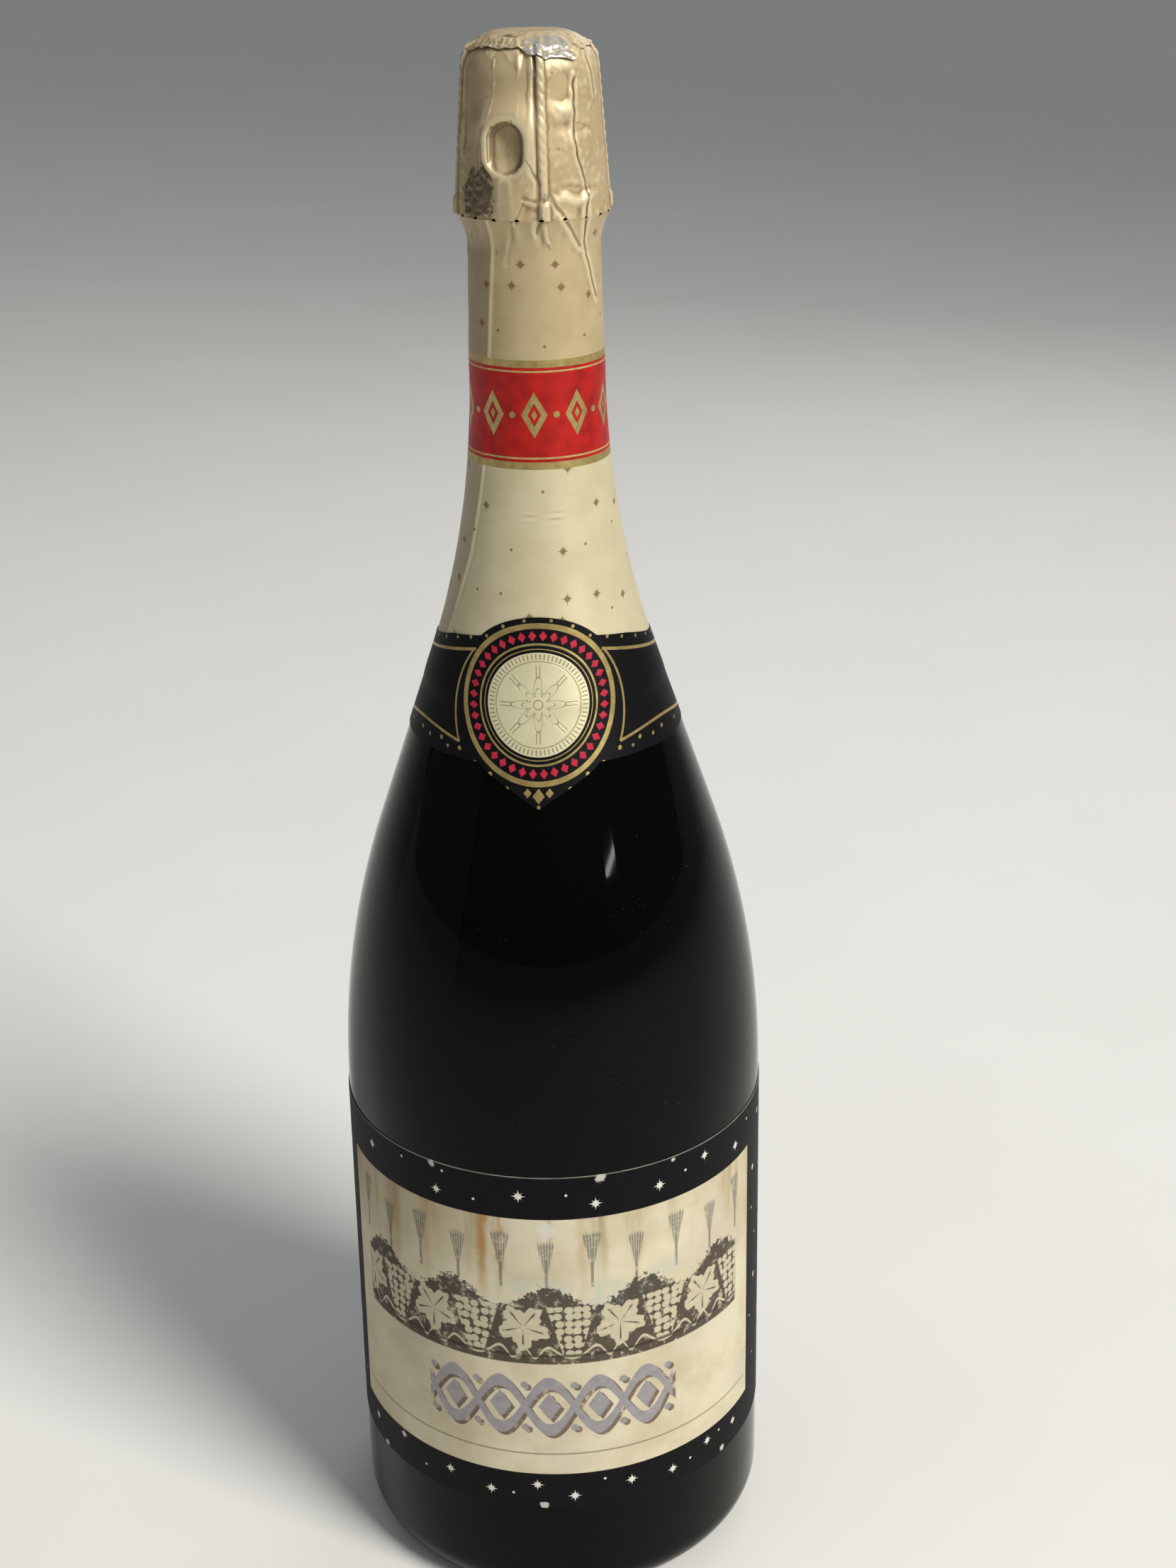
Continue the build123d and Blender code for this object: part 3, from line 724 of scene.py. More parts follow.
def disc_relief(turns, run):
    """The hood's forms under the disc, and its own curled and crumpled edge."""
    out, _, worn = hood_relief(turns, run)
    share = from_top(run)
    near = disc_reach(turns) - share
    front = plateau(from_turn(turns, -2), 42, 30)
    crush = crumple(turns, share * 1.15, 3, 3)
    small = crumple(turns, share * 1.3, 1.3, 8)
    rim = ease(near, 6, 1.5)
    curl = bell(near, 0.9) * (0.1 + (0.1 + 0.2 * front) * rough_noise(turns, turns * 0, 3.2, 5))
    crumpled = rim * (0.26 * crush + 0.16 * small) * (0.25 + 0.75 * front) + 0.08 * crush
    swell = 0.4 * bell(from_turn(turns, -26), 14) * bell(share - 11.6, 0.8)
    worn = np.maximum(worn * 0.9, front * bell(near - 0.3, 0.6) * 0.45)
    bare = plateau(from_turn(turns, 21), 15, 10) * ease(share, 8.5, 11.5) * (0.35 + 0.65 * crush)
    worn = np.maximum(worn, bare)
    # Painted shade in the top fold and in the crevices of the crumpled front rim.
    painted_shade = top_fold(turns, run) + 0.35 * bell(crush - 0.1, 0.1) * rim * front
    return out * ease(share, 7, 10) + crumpled + curl + swell, np.clip(painted_shade, 0, 1), np.clip(worn, 0, 1)


rings = np.concatenate([np.linspace(0, 9, 20), np.linspace(9, disc_radius, 44)[1:]])
disc = lathe("top_disc", list(zip(*plain_skin(from_top(rings))[:2])), 256)
turns, rolled, line_mark, worn = press(disc, disc_run, disc_relief, 0.14)
keep_marks(disc, 3, line_mark, worn)
lay_print(disc, lambda turn, reach, height: (np.sin(np.radians(turn)) * reach,
                                             np.cos(np.radians(turn)) * reach))
thicken(disc, 0.12)
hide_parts("foil_top_disc")
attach(disc, "hood")

# %% [markdown]
# ## The foil of the neck
#
# Below the tear line a longer foil lies smooth on the glass. One glued seam runs down its left side, and it
# wrinkles only where the hood pulls at it and where a hand has slid it.

# %% The neck foil
neck_line = [(r + 0.32, z) for r, z in arc(neck_centre, neck_bend, 199, 180, 96) if z > 252]
low_line = [(r + 0.32, z) for r, z in run((29.33, 246), (27.5, 251.3), 7)]
neck_line = low_line + neck_line + run((15.96, 322.16), (15.28, 349.8), 40)[1:]
neck_line += [(15.28 + 2.22 * share ** 1.7, 350 + 7.26 * share) for share in np.linspace(0.05, 1, 24)]
neck = lathe("neck_foil_skin", neck_line, 256)
face_out(neck)
points = corners(neck)
turns, reach, heights = turn_of(points), reach_of(points), points[:, 2] * 1000
rise, line_mark = creased(turns, heights)
seam_turn = np.interp(heights, [246, 279.5, 308, 336, 356, 358], [-72, -52.9, -44.5, -38.6, -33.8, -33.5])
seam_gap = from_side(turns, seam_turn, reach)
seam = 0.26 * ease(seam_gap, 1, -0.1) * ease(seam_gap, -14, 0) + 0.12 * bell(seam_gap - 0.5, 0.5)
seam *= 0.3 + 0.7 * ease(heights, 263, 272)
ripples = 0.07 * np.sin((heights - 0.03 * turns) * math.tau / 1.5) * bell(heights - 290.2, 1.5)
ripples *= plateau(from_turn(turns, 6), 9, 8)
pull = 0.16 * rough_noise(turns, heights * 0.25, 2.4, 12) * ease(heights, 344, 355)
soft = 0.05 * rough_noise(turns, heights, 7, 15)
reach = reach + rise + seam + ripples + pull + soft
heights = heights - np.where(heights > 357, tear_notch(turns), 0)
put_round(neck, turns, reach, heights)

# %% Its fields and thickness
# A painted shade line runs beside the seam's edge, and the next field paints shade over the strip left of the
# seam.
keep_marks(neck, 3, np.maximum(line_mark, 0.45 * bell(seam_gap + 0.5, 0.5)), np.zeros(len(turns)))
keep_field(neck, "seam_side_shade", ease(seam_gap, 0.1, -0.4) * ease(seam_gap, -26, -12))
lay_print(neck, lambda turn, reach, height: (np.radians(turn) * reach, height))
thicken(neck, 0.14)
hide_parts("neck_foil")
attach(neck, "bottle")
print("neck foil is pressed")

# %% [markdown]
# ## Foil paint
#
# The tin has a warm cream lacquer with a satin shine. Painted shade darkens hollows and creases, a painted
# highlight lightens high ridges, and worn places show grey metal. Cells of a Voronoi texture place small bronze
# stars and dots.
# A star is where roots of the distances across and up add to less than one, which gives long thin points.

# %% Stars
def any_of(*marks):
    """The strongest of several marks."""
    return reduce(Flow.most, marks)


def polar(x, y):
    """The distance from the middle, and the angle."""
    return (x * x + y * y) ** 0.5, y.maths("ARCTAN2", x)


def dot(across, up, size):
    return ((across * across + up * up) ** 0.5).rise(size, size * 0.7)


def lozenge(across, up, wide, tall, full=0.9):
    return (abs(across) / wide + abs(up) / tall).rise(1, full)


def star(across, up, size, point=0.48):
    """An eight-pointed star round a small core."""
    slant = 0.707 / (0.8 * size)
    straight = (abs(across) / size) ** point + (abs(up) / size) ** point
    slanted = (abs(across + up) * slant) ** point + (abs(across - up) * slant) ** point
    return (1 - straight.least(slanted)).rise(-0.03, 0.05).most(dot(across, up, size * 0.25))


def scattered(paint, across, up, pitch, size):
    """Stars and dots at loose places, one to a cell."""
    cells = paint.sheet(across / pitch, up / pitch).cells("Position", 1, 0.85, "2D")
    column, row, _ = cells.parts()
    chance, second, _ = cells.other("Color").parts()
    x, y = across - column * pitch, up - row * pitch
    stars = star(x, y, size) * (chance > 0.56)
    return stars.most(dot(x, y, size * 0.24) * (chance < 0.5) * (second > 0.25))


# %% The lacquered foil
def lacquer(paint, cream, shade):
    """The cream coat with painted shade in hollows and creases, a painted highlight on ridges, rubbing and fine
    crinkle; gives colour, worn share and bump height.
    """
    place = paint.place()
    hollow, crease, worn = paint.field("hollow"), paint.field("crease"), paint.field("worn")
    grit = place.grain(900, 3, 0.7)
    bare = (worn * 1.5 - 0.35 + (grit - 0.5) * 1.6).rise(0.15, 0.75)
    # Bare metal: pale silver high on the hood, grey-brown lower down, which is partly painted shade.
    bare_metal_and_shade = place.parts()[2].rise(0.386, 0.391).between("675c4d", "cdc8be")
    # Painted shade in hollows (6b5636) and along creases (34281a), and a painted highlight on ridges (e6dab6),
    # lie over the cream.
    colour = (place.grain(130, 4, 0.6).rise(0.35, 0.7) * 0.45).between(cream, shade).coats(
        (hollow.rise(0.6, 7) * 0.55, "6b5636"), (hollow.rise(-0.4, -5) * 0.45, "e6dab6"),
        (crease.rise(0.25, 1) * 0.8, "34281a"), (bare * 0.85, bare_metal_and_shade))
    return colour, bare, place.grain(420, 3, 0.6) * 0.6 + grit * 0.25 * (worn + 0.3)


paint = Paint("hood_foil")
across, up = paint.print_place()
colour, bare, height = lacquer(paint, "c0ab84", "a6916a")
# Painted shade: the left part of the foil is darkened (8a7550).
left_side_shade = across.rise(-4, -16) * across.rise(-40, -24)
foil = paint.finish(
    Base_Color=colour.coats((scattered(paint, across, up, 8.4, 0.75) * 0.6, "86673a"), (left_side_shade * 0.3, "8a7550")),
    Metallic=0.22 + bare * 0.5, Roughness=0.43 - bare * 0.04, Specular_IOR_Level=0.4,
    Normal=paint.bump(height, 0.00016, 0.5))
hood.data.materials.append(foil)
disc.data.materials.append(foil)
print("hood and disc wear", foil.name)

# %% [markdown]
# The neck carries a red band between gold lines with a row of gold lozenges, and the lacquer turns from golden
# cream above it to ivory below. A painted shade darkens the strip left of the seam, and a painted shade line
# follows the seam's edge.

# %% The printed neck foil
def gold_leaf(place):
    """Gold ink with a slightly uneven coat."""
    return place.grain(500).between("8d7440", "d9c483")


band_middle, lozenge_pitch = 313.6, 10.4
paint = Paint("neck_foil_print")
across, up = paint.print_place()
place = paint.place()
gold = gold_leaf(place)
cream, bare, height = lacquer(paint, "c0ad85", "a8946a")
ivory, _, _ = lacquer(paint, "d0c5a2", "bfb28b")
over_band = up - band_middle
from_band = abs(over_band)
printed = from_band.rise(12.6, 12.5)
red = place.grain(260).rise(0.3, 0.8).between("bb1a12", "8f0f0b")
step = every(across, lozenge_pitch)
frame_line = lozenge(step, over_band, 3.1, 5.4, 0.97) - lozenge(step, over_band, 1.6, 2.8, 0.96)
leaf = any_of(frame_line, dot(across % lozenge_pitch - lozenge_pitch / 2, over_band, 0.85),
              lozenge(step, over_band, 0.7, 1.3))
shine = (printed * from_band.rise(10.8, 10.9)).most(leaf * printed)
# The field left of the seam lays painted shade (75644a) over the lacquer.
colour = up.rise(314, 306).between(cream, ivory).coats(
    (paint.field("seam_side_shade") * 0.42, "75644a"), (scattered(paint, across, up, 9.6, 1.75) * 0.85, "745730"),
    (printed, gold), (from_band.rise(10.9, 10.8), red),
    (from_band.rise(10.2, 10.1) * from_band.rise(9.7, 9.8), gold), (leaf, gold),
    (bare * printed * 0.8, "a89068"))
neck.data.materials.append(paint.finish(
    Base_Color=colour, Metallic=0.2 + bare * 0.4 + shine * 0.5, Roughness=0.42 + bare * 0.08,
    Specular_IOR_Level=0.4, Normal=paint.bump(height, 0.0001, 0.35)))
print("neck foil is painted")

# %% [markdown]
# ## Paper labels
#
# A label is a flat grid whose corners move to their places on the bottle. Its cut edge catches the light, so
# it gets a real thickness.

# %% Round the bottle
label_turn = 100         # how far round both labels go, each way
body_reach = 54.9        # the body label's distance from the axis


def skin_reach(heights):
    """The distance of the glass from the axis at each height, above the heel."""
    flank = outline[flank_first - 12:]
    line = [p for k, p in enumerate(flank) if k == 0 or p[1] > max(q[1] for q in flank[:k])]
    return np.interp(heights, [p[1] for p in line], [p[0] for p in line])


def wrapped(name, columns, rows, place_of):
    """A grid bent round the bottle; place_of gives turn, height and stand-off from two shares."""
    bpy.ops.mesh.primitive_grid_add(x_subdivisions=columns, y_subdivisions=rows, size=1, location=(0, 0, 0))
    piece = named(name)
    flat = corners(piece)
    turns, heights, stand_off = place_of(flat[:, 0] + 0.5, flat[:, 1] + 0.5)
    put_round(piece, turns, skin_reach(heights) + stand_off, heights)
    bpy.ops.object.shade_smooth()
    face_out(piece)
    print(name, len(piece.data.vertices), "vertices")
    return piece


# %% The body label's sheet
def body_sheet(across, up):
    turns = label_turn * (2 * across - 1)
    heights = 32.8 + 100.9 * up
    waves = [noise.noise(Vector((turn / 14, height / 11, 3))) for turn, height in zip(turns, heights)]
    return turns, heights, 0.23 + 0.04 * np.array(waves)


body = wrapped("body_label_sheet", 200, 64, body_sheet)
lay_print(body, lambda turn, reach, height: (np.radians(turn) * body_reach, height))
thicken(body, 0.18)
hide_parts("body_label")
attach(body, "bottle")

# %% [markdown]
# The body label is black card with a cream panel. The panel holds a garland of vine leaves and grapes in dark
# brown, small upright fans of twigs in grey above it, and a silver chain of lozenges with a shadow below it.
# Damp has stained the paper brown in runs, and rubbing has lifted the ink. White stars lie on the black.

# %% Table of stars on the black card
body_stars = [
    (-30.1, 125.8, 1.9), (-6.8, 128.2, 2.2), (13.3, 125.6, 2.1), (31.2, 126.8, 2.1), (46.4, 129.8, 1.9),
    (60.6, 125.9, 1.9), (-56, 128.4, 1.9), (-29.3, 39.6, 2), (-16.8, 37.2, 2.1), (-3.8, 40.2, 2.1),
    (6.3, 36.6, 2.2), (22.2, 39, 2.1), (34.9, 37.7, 2), (47.6, 40.4, 1.9), (60, 39.4, 1.8), (-47, 42, 1.8),
    (-62, 39, 1.8), (74, 112, 1.6), (76, 77, 1.6), (80, 126, 1.6), (85, 60, 1.7), (88, 96, 1.6),
    (-78, 118, 1.7), (-82, 88, 1.7), (-77, 62, 1.7), (90, 38, 1.8), (-90, 40, 1.8), (-92, 124, 1.8),
]
body_dots = [
    (-19, 125.8), (5.6, 128.6), (39.5, 128.3), (-28, 131.6), (-10.5, 37), (14.6, 41.1), (41, 38.3),
    (52.7, 40.9), (73, 100), (77, 90), (72, 66), (75, 52), (-74, 104), (-86, 74), (-72, 48), (-42, 131),
    (68, 130), (83, 108), (93, 78), (-94, 66), (-88, 108), (-38, 37),
]
print(len(body_stars), "stars,", len(body_dots), "dots")


# %% The garland
def garland(paint, across, up):
    """A dark ribbon of foliage with a wavy top, and the pale leaves and grapes that lie in it."""
    pitch = 25
    along = (across + pitch / 2) % pitch
    wave = (across * (math.tau / pitch)).cosine()
    ragged = paint.sheet(across, up).grain(0.55, 3, 0.7)
    ribbon = (wave * 3.2 + 98.5 + (ragged - 0.5) * 9 - up).rise(-0.3, 0.5) * up.rise(78.2, 78.6)
    radius, angle = polar(along - 6.2, up - 89.5)
    lobes = (angle * 5 + 1.57).cosine() * 1.2 + (angle * 15).cosine() * 0.4
    leaf = (radius - lobes).rise(6, 5.7)
    veins = abs((angle * 2.5 + 0.8).sine()).rise(0.2, 0.08) * radius.rise(6, 4.6)
    bunch_x, bunch_y = along - 18.6, up - 88
    bunch = (abs(bunch_x) / (4.4 + bunch_y * 0.3)).rise(1, 0.9) * abs(bunch_y).rise(8, 7.6)
    berries = paint.sheet(across / 2.4, up / 2.2).cells(0, 1, 0.35, "2D").rise(0.52, 0.42)
    curl = abs(((across + wave * 2) * (math.tau / 8.3)).sine() * 1.6 + 81.9 - up).rise(0.55, 0.3)
    return any_of(ribbon, leaf, bunch), any_of(leaf * (1 - veins), bunch * berries, curl)


def sprigs(across, up):
    """A row of small upright fans of twigs on stems, every second one taller."""
    pitch = 11.6
    step = every(across, pitch)
    tall = ((across + pitch / 2) % (2 * pitch) > pitch) * 2.4
    stem = abs(step).rise(0.5, 0.28) * up.rise(101, 101.5) * (110 + tall - up).rise(0, 0.4)
    rays = abs((step / (up - 95) * 26) % 1 - 0.5).rise(0.44, 0.22)
    rungs = abs((up - abs(step) * 1.6) % 1.3 - 0.65).rise(0.42, 0.2)
    crown = ((up - 103.5 - tall * 0.5) * 0.21 - abs(step)).rise(-0.1, 0.3)
    crown *= (115.8 + tall - step * step * 0.12 - up).rise(0, 1.6)
    return stem.most(rays.most(rungs * 0.6) * crown)


def chain(across, up):
    """Two bands that cross in waves, with a lozenge in each eye and a bead over and under each crossing."""
    pitch = 12.8
    step, rise = every(across, pitch), abs(up - 65.2)
    wave = abs((across * (math.pi / pitch)).cosine()) * 7.3
    beads = dot(abs(step) - pitch / 2, rise - 6.6, 1.2)
    links = any_of(abs(rise - wave).rise(2, 1.7), lozenge(step, rise, 3, 4.4, 0.95), beads)
    return links * abs(across).rise(33.6, 33.4)


# %% The printed body label
paint = Paint("body_label_print")
across, up = paint.print_place()
sheet = paint.sheet(across, up)
# The card and its stars
marks = [star(across - math.radians(turn) * body_reach, up - high, size) for turn, high, size in body_stars]
marks += [dot(across - math.radians(turn) * body_reach, up - high, 0.42) for turn, high in body_dots]
card = sheet.grain(0.25, 4, 0.7).between("060607", "121214").coats((any_of(*marks) * 0.9, "dedbd0"))
# The cream paper, its stains and a painted shade on its upper left
upper = up.rise(94, 120)
stains_and_shade = [(sheet.grain(0.03, 2).rise(0.5, 0.72) * 0.5, "c4b7a8"),
          (sheet.stretch(0.16, 0.012, 1).grain(1, 4, 0.6).rise(0.48, 0.72) * upper * 0.65, "94815a"),
          # Brown over the upper left: partly a stain, partly painted shade.
          (across.rise(0, -38) * upper * 0.4, "8f7c57")]
for centre, width, strength in ((-16.5, 1.5, 0.8), (-11.6, 0.8, 0.45), (-33, 1.8, 0.4), (9, 1.2, 0.3),
                                (-45, 2.4, 0.4), (24, 1, 0.25)):
    drift = abs(across - centre + (sheet.grain(0.12) - 0.5) * 5) / width
    stains_and_shade.append((drift.rise(1.6, 0) * up.rise(92, 112) * strength, "9f7430"))
paper = sheet.grain(0.045, 4, 0.6).rise(0.35, 0.68).between("d2c9ae", "bfb395").coats(*stains_and_shade)
# The printed picture
ink = 1 - sheet.grain(0.3, 5, 0.75).rise(0.52, 0.66) * 0.75
band = abs(across).rise(59, 57.5)
mist = sheet.grain(0.09, 3, 0.6).rise(0.45, 0.65) * up.near(98, 8, 2) * across.near(8, 38, 20)
dark, pale = garland(paint, across, up)
silver = sheet.grain(0.35, 4, 0.7).between("7f7b80", "b4afae")
links = chain(across, up)
rule = up.near(50.2, 0.3, 0.16) * abs(across).rise(64.3, 64.1)
picture = paper.coats(
    (sprigs(across, up) * ink * abs(across).rise(60, 58.5) * 0.72, "5b5d5a"), (mist * 0.6, "b3c3be"),
    (dark * band * ink * 0.92, "3b302a"), (pale * band * 0.82, "cdc3a6"),
    (up.near(80.9, 0.55, 0.35) * band * ink * 0.8, "3f342e"),
    (chain(across - 0.9, up + 0.8) * ink * 0.85, "59453f"), (links, silver), (rule * 0.7, "6d6350"))
# Panel on card, then the wear of both
panel = abs(across).rise(66.1, 65.9) * up.near(82.7, 39, 38.8)
rubbed = [(((across - x) ** 2 + (up - y) ** 2) ** 0.5).rise(size * 1.6, 0) for x, y, size in (
    (0.2, 118.4, 4), (14, 132.9, 2.2), (-30, 132.9, 1.6), (60, 84, 1.4), (-2, 33.6, 2), (52, 34, 1.6),
    (-54, 33.4, 1.6), (34, 132.8, 1))]
edge = abs(up - 83.25).rise(49.7, 50.3) * 0.3
lifted = (any_of(*rubbed, edge) * 0.62 + sheet.grain(1.1, 6, 0.85)).rise(0.9, 1)
rim = up.rise(133.42, 133.52) * (sheet.grain(0.2) + 0.25)
scratch = sheet.stretch(0.5, 0.03, 1).grain(1).rise(0.72, 0.78)
colour = panel.between(card, picture).coats((lifted * 0.8, "d0ccc0"), (rim * 0.45, "c3beb2"),
                                            (scratch * 0.15, "c9c5bb"))
fibre = sheet.grain(0.9, 5, 0.7)
relief = fibre * 0.5 + panel * 0.35 + links * panel * 0.25
body.data.materials.append(paint.finish(
    Base_Color=colour, Roughness=0.5 + fibre * 0.12 + panel * 0.06, Metallic=links * panel * 0.35,
    Specular_IOR_Level=0.1, Normal=paint.bump(relief, 0.00006, 0.5)))
print("body label is printed with", len(marks), "stars and dots")

# %% [markdown]
# ## The collar label
#
# The collar is cut with a round shield in front that runs to a blunt point, and two wings that go round the
# shoulder. Column by column its upper and lower edges are known, so the grid is stretched between them.

# %% The collar's cut
shield_middle, shield_radius, squash = 247.7, 20.8, 0.9455       # the shoulder's slope squashes heights


def shield_edges(turns):
    """The lowest and highest height of the collar at each turn."""
    turn = np.abs(turns)
    wing_top = np.interp(turn, [0, 26, 55, 80, 100], [262.8, 262.6, 260.6, 257.8, 256.4])
    wing_low = np.full(len(turns), 233.9)
    high, low = np.full(len(turns), 267.2), np.full(len(turns), 223.4)
    for _ in range(30):
        across = np.radians(turn) * skin_reach(high)
        rise = np.sqrt(np.clip(shield_radius ** 2 - across ** 2, 0, None))
        high = 0.6 * high + 0.4 * (shield_middle + squash * rise)
        across = np.radians(turn) * skin_reach(low)
        drop = np.where(across < 11.2, (shield_radius - across * 0.543) / 0.84,
                        np.sqrt(np.clip(shield_radius ** 2 - across ** 2, 0, None)))
        low = 0.6 * low + 0.4 * (shield_middle - squash * drop)
    return np.minimum(low, wing_low), np.maximum(high, wing_top)


def collar_sheet(across, up):
    turns = label_turn * (2 * across - 1)
    low, high = shield_edges(turns)
    heights = low + (high - low) * up
    rest = 0.34 + 0.2 * ease(heights, 244, 248)
    return turns, heights, rest + 0.03 * np.sin(turns / 9)


collar = wrapped("collar_label_sheet", 300, 64, collar_sheet)
lay_print(collar, lambda turn, reach, height: (np.radians(turn) * reach, (height - shield_middle) / squash))
thicken(collar, 0.16)
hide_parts("collar_label")
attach(collar, "bottle")

# %% [markdown]
# The shield carries a seal in pale gold with a reeded rim and a rosette, round it a ring of small red
# lozenges between gold rings, and gold frames on the wings. Its edge is dotted with gold.

# %% The printed collar
paint = Paint("collar_label_print")
across, up = paint.print_place()
place = paint.place()
reach, angle = polar(across, up)


def ring(radius, width):
    return reach.near(radius, width / 2 + 0.08, width / 2 - 0.04)


# Gold rings, and the row of lozenges between them
rings = any_of(ring(18.75, 1.25), ring(14.35, 0.45), ring(13.2, 0.18))
ruby = lozenge((angle * (40 / math.tau)) % 1 - 0.5, reach - 16.35, 0.4, 1.3, 0.86)
# The seal
seal = reach.rise(12.45, 12.3)
petals = (angle * 8).cosine()
reeds = abs((angle * (72 / math.tau)) % 1 - 0.5).rise(0.22, 0.14) * reach.near(11.35, 0.75, 0.6)
rosette = abs(reach - 4.6 - petals * 1.9).rise(0.3, 0.14)
inner = abs(reach - 3 - petals * 0.9).rise(0.24, 0.1)
leaves = abs(abs(every(angle * (8 / math.tau), 1)) * reach - 0.55).rise(0.22, 0.1)
lines = any_of(reeds, rosette, inner, leaves * reach.near(7.9, 1.5, 1.3), ring(10.25, 0.22), ring(1.1, 0.25))
pale = place.grain(160, 4, 0.65).between("cfc69c", "e3dcbb").coats((lines * 0.7, "716a50"))
# A small fleuron of three lozenges under the ring
drop = lozenge(across, up + 21.6, 1.5, 1.9).most(lozenge(abs(across) - 2.6, up + 20.9, 1, 1.2, 0.88))
# Frames on the wings
wide = abs(across)
sag = ((wide - shield_radius) * (math.pi / 28)).sine() * 1.9
frames = [abs(up - 11.75 + (wide - 16) * 0.205).rise(0.42, 0.28) * wide.rise(15.8, 16),
          abs(up + 10.7 - sag).rise(0.4, 0.26) * wide.rise(20.6, 20.8),
          polar(across, up + 3)[0].near(22, 0.34, 0.2) * up.near(0.55, 11.4, 11.2)]
# Gold dots along the edge, of two sizes
spots = [dot(wide - x, up - y, size) for x, y, size in (
    (3.2, 19.9, 0.45), (8.4, 18.2, 0.5), (12.8, 15.4, 0.45), (17.6, 14.3, 0.5), (22.4, 13.2, 0.45),
    (28, 11.9, 0.45), (34, 10.6, 0.4), (40, 9.4, 0.4), (35.6, -11.1, 0.55), (31.6, -11.7, 0.5),
    (26.7, -11.2, 0.6), (24.3, -12.6, 0.45), (20.4, -12.3, 0.6), (15.9, -14.9, 0.55), (11.8, -17, 0.6),
    (7.6, -20.1, 0.6), (44, -11.8, 0.45), (0, -24.2, 0.5))]
ink = any_of(rings, drop, *frames, *spots)
colour = place.grain(300, 4, 0.7).between("060607", "111113").coats(
    (ruby, place.grain(700).between("a3182f", "bd3547")), (seal, pale), (ink, gold_leaf(place)),
    (place.grain(420, 4, 0.75).rise(0.7, 0.78) * 0.35, "8f8b80"))
relief = seal * 0.7 - lines * seal * 0.5 + ink * 0.3 + ruby * 0.3
collar.data.materials.append(paint.finish(
    Base_Color=colour, Metallic=ink * 0.65 + seal * 0.3, Roughness=0.46 - seal * 0.08 - ink * 0.12,
    Specular_IOR_Level=0.12, Normal=paint.bump(relief, 0.0001, 0.6)))
print("collar is printed with", len(spots), "dots")

# %% [markdown]
# ## What the hood hides
#
# The cork, its metal cap, the wire cage and the wine keep their CAD shapes and get materials: pressed cork
# grains, whole cork for the two discs, galvanised wire, gold lacquer on the cap, and pale wine.

# %% Cork, wire, cap and wine
def dress(material, *nodes):
    """CAD nodes keep their meshes and take a new material."""
    for node in nodes:
        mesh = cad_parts[node].data
        mesh.materials.clear()
        mesh.materials.append(material)
        print(node, "wears", material.name)


paint = Paint("pressed_cork")
place = paint.place()
grains = place.cells(0, 620)
pits = place.grain(1400, 2).rise(0.66, 0.74)
colour = grains.other("Color").parts()[0].between("a77c4c", "d0a874").coats(
    (grains.rise(0.42, 0.62) * 0.7, "7a5229"), (pits * 0.7, "4e331b"))
dress(paint.finish(Base_Color=colour, Roughness=0.82, Normal=paint.bump(grains * -0.6 - pits, 0.00025, 0.6)),
      "cork_body")

paint = Paint("whole_cork")
place = paint.place()
growth = place.stretch(60, 900, 60).grain(1, 4, 0.6)
pores = place.stretch(900, 300, 300).grain(1, 2).rise(0.64, 0.7)
colour = growth.between("b98d5b", "dcb88a").coats((pores * 0.8, "5a3a1e"))
dress(paint.finish(Base_Color=colour, Roughness=0.8, Normal=paint.bump(growth * 0.4 - pores, 0.0002, 0.6)),
      "cork_disc_upper", "cork_disc_lower")

paint = Paint("galvanised_wire")
place = paint.place()
drawn, dull = place.grain(1600, 3, 0.6), place.grain(240).rise(0.45, 0.7)
dress(paint.finish(Base_Color=dull.between("bdbab2", "8f8c84"), Metallic=0.95,
                   Roughness=0.28 + dull * 0.16 + drawn * 0.06, Normal=paint.bump(drawn, 0.00003, 0.4)),
      "muselet_cage", "muselet_belt", "muselet_key")

paint = Paint("lacquered_cap")
place = paint.place()
x, y, _ = place.parts()
reach, angle = polar(x * 1000, y * 1000)
scuff = place.grain(500, 4, 0.7)
rosette = abs(reach - 4.4 - (angle * 6).cosine() * 1.5).rise(0.35, 0.2)
lines = any_of(rosette, reach.near(7.9, 0.35, 0.2), reach.near(7.1, 0.2, 0.08))
colour = scuff.between("c9a95a", "e2cb85").coats((lines, "6e1418"), (scuff.rise(0.66, 0.76) * 0.6, "c9c4b8"))
dress(paint.finish(Base_Color=colour, Metallic=0.8, Roughness=0.26 + scuff * 0.12,
                   Normal=paint.bump(scuff, 0.00004, 0.3)), "muselet_plaque")

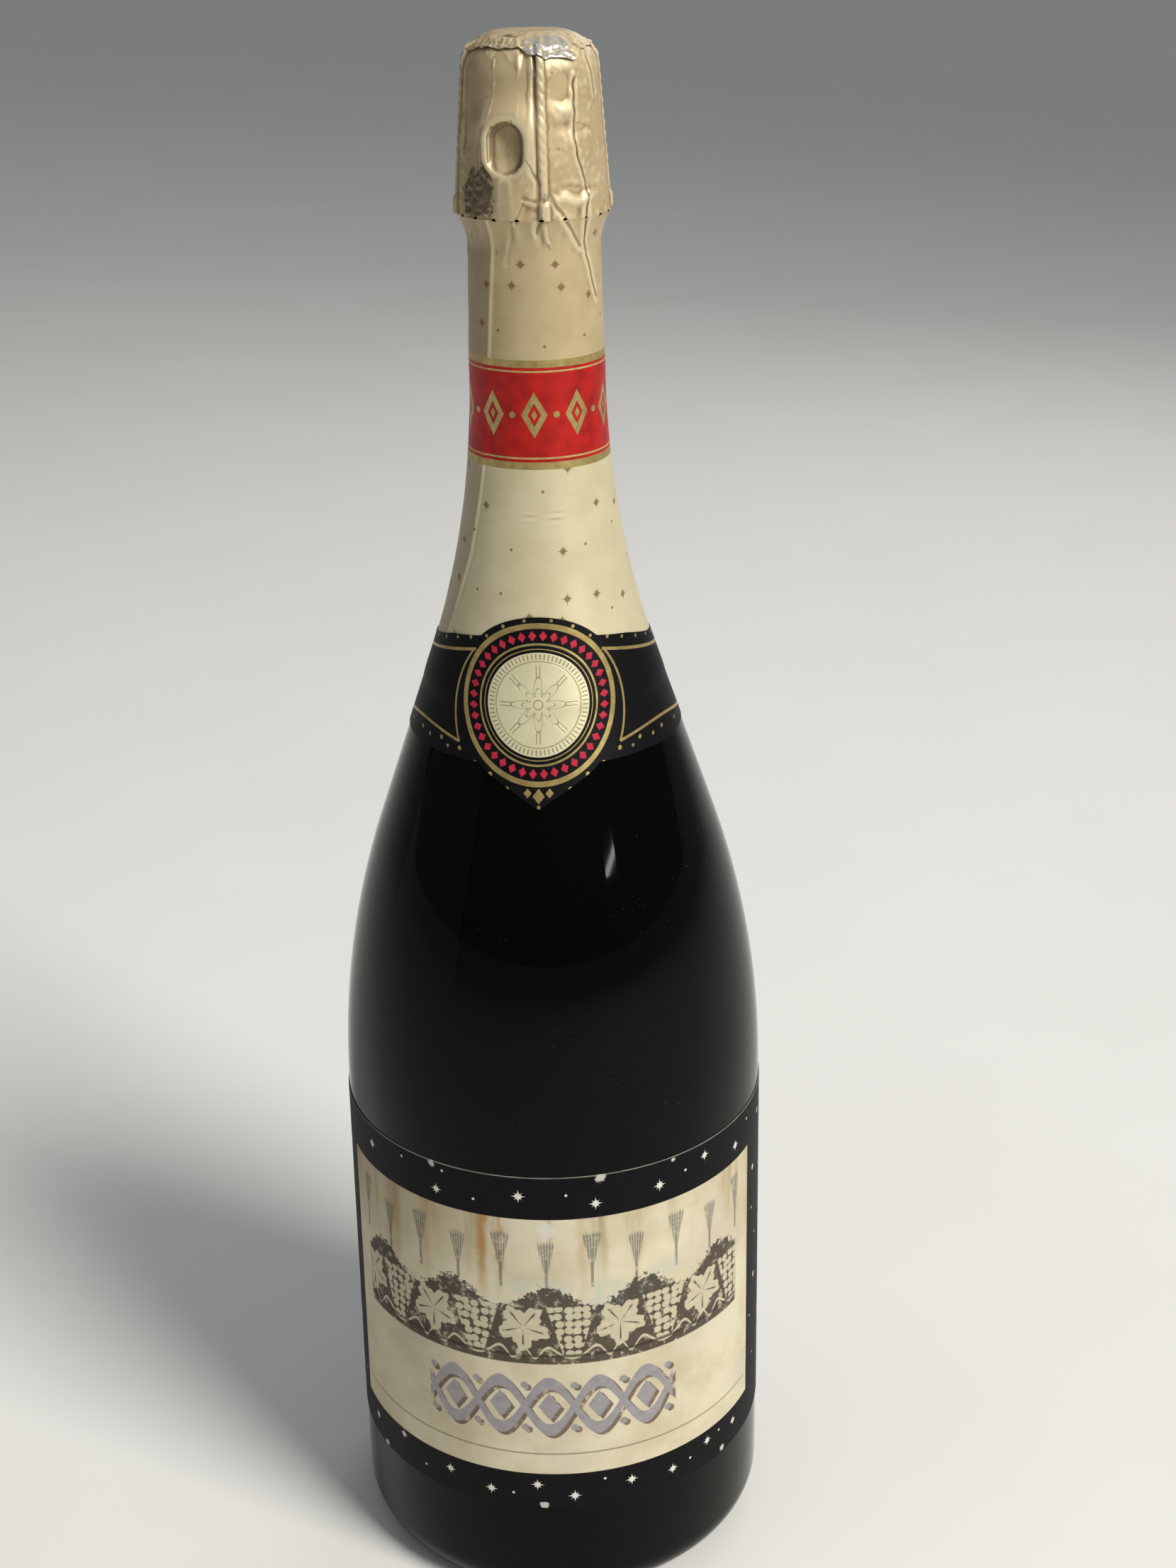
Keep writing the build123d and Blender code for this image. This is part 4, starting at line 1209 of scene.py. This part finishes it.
paint = Paint("pale_wine")
dress(paint.finish(Base_Color=paint.place().grain(30, 2).between("cfae4e", "b8953a"), Roughness=0.05), "wine")


# %% [markdown]
# ## The studio
#
# The bottle stands on a plain pale floor in an even grey room. The main lamp is high on the right in front, a
# wide one on the left gives a long pale reflection, and one is behind. A far small one, like a window across
# the room, leaves the small bright mark on the shoulder.

# %% Floor and room
bpy.ops.mesh.primitive_plane_add(size=60, location=(0, 0, 0))
floor = named("floor")
table = Paint("pale_table")
floor.data.materials.append(table.finish(Base_Color=table.place().grain(9).between("e6e3dd", "ebe9e4"),
                                         Roughness=0.6, Specular_IOR_Level=0.2))
bpy.context.scene.world = bpy.data.worlds.new("room")
room = Paint("room", bpy.context.scene.world)
skyward = room.place("Generated").parts()[2]
room.finish(Color=(0.9, 0.95, 1, 1), Strength=0.05 + skyward.rise(0.05, 0.85) * 0.3)
bpy.context.scene.view_settings.view_transform = "Standard"


# %% Lamps
def lamp(name, place, towards, width, height, power, colour, spread=180):
    """A soft rectangular lamp; its spread in degrees keeps light off the floor below it."""
    light = bpy.data.lights.new(name, "AREA")
    light.shape, light.size, light.size_y = "RECTANGLE", width, height
    light.energy, light.color, light.spread = power, colour, math.radians(spread)
    holder = bpy.data.objects.new(name, light)
    bpy.context.scene.collection.objects.link(holder)
    look = (Vector(towards) - Vector(place)).to_track_quat("-Z", "Y")
    holder.matrix_world = Matrix.Translation(place) @ look.to_matrix().to_4x4()
    print(name, "at", place)


lamp("key_lamp", (2.11, -1.77, 2.52), (0, 0, 0.22), 1.35, 1.35, 18.7, (1, 0.98, 0.94), 60)
lamp("side_lamp", (-1.2, -0.3, 0.6), (0, 0, 0.2), 1.3, 1.5, 0.7, (0.9, 0.95, 1))
lamp("window_lamp", (0.979, -1.024, 0.46), (0.017, -0.039, 0.208), 0.2, 0.01, 0.18, (0.96, 0.98, 1))
lamp("back_lamp", (0.5, 1.2, 0.9), (0, 0, 0.25), 0.8, 0.6, 3, (0.95, 0.97, 1))
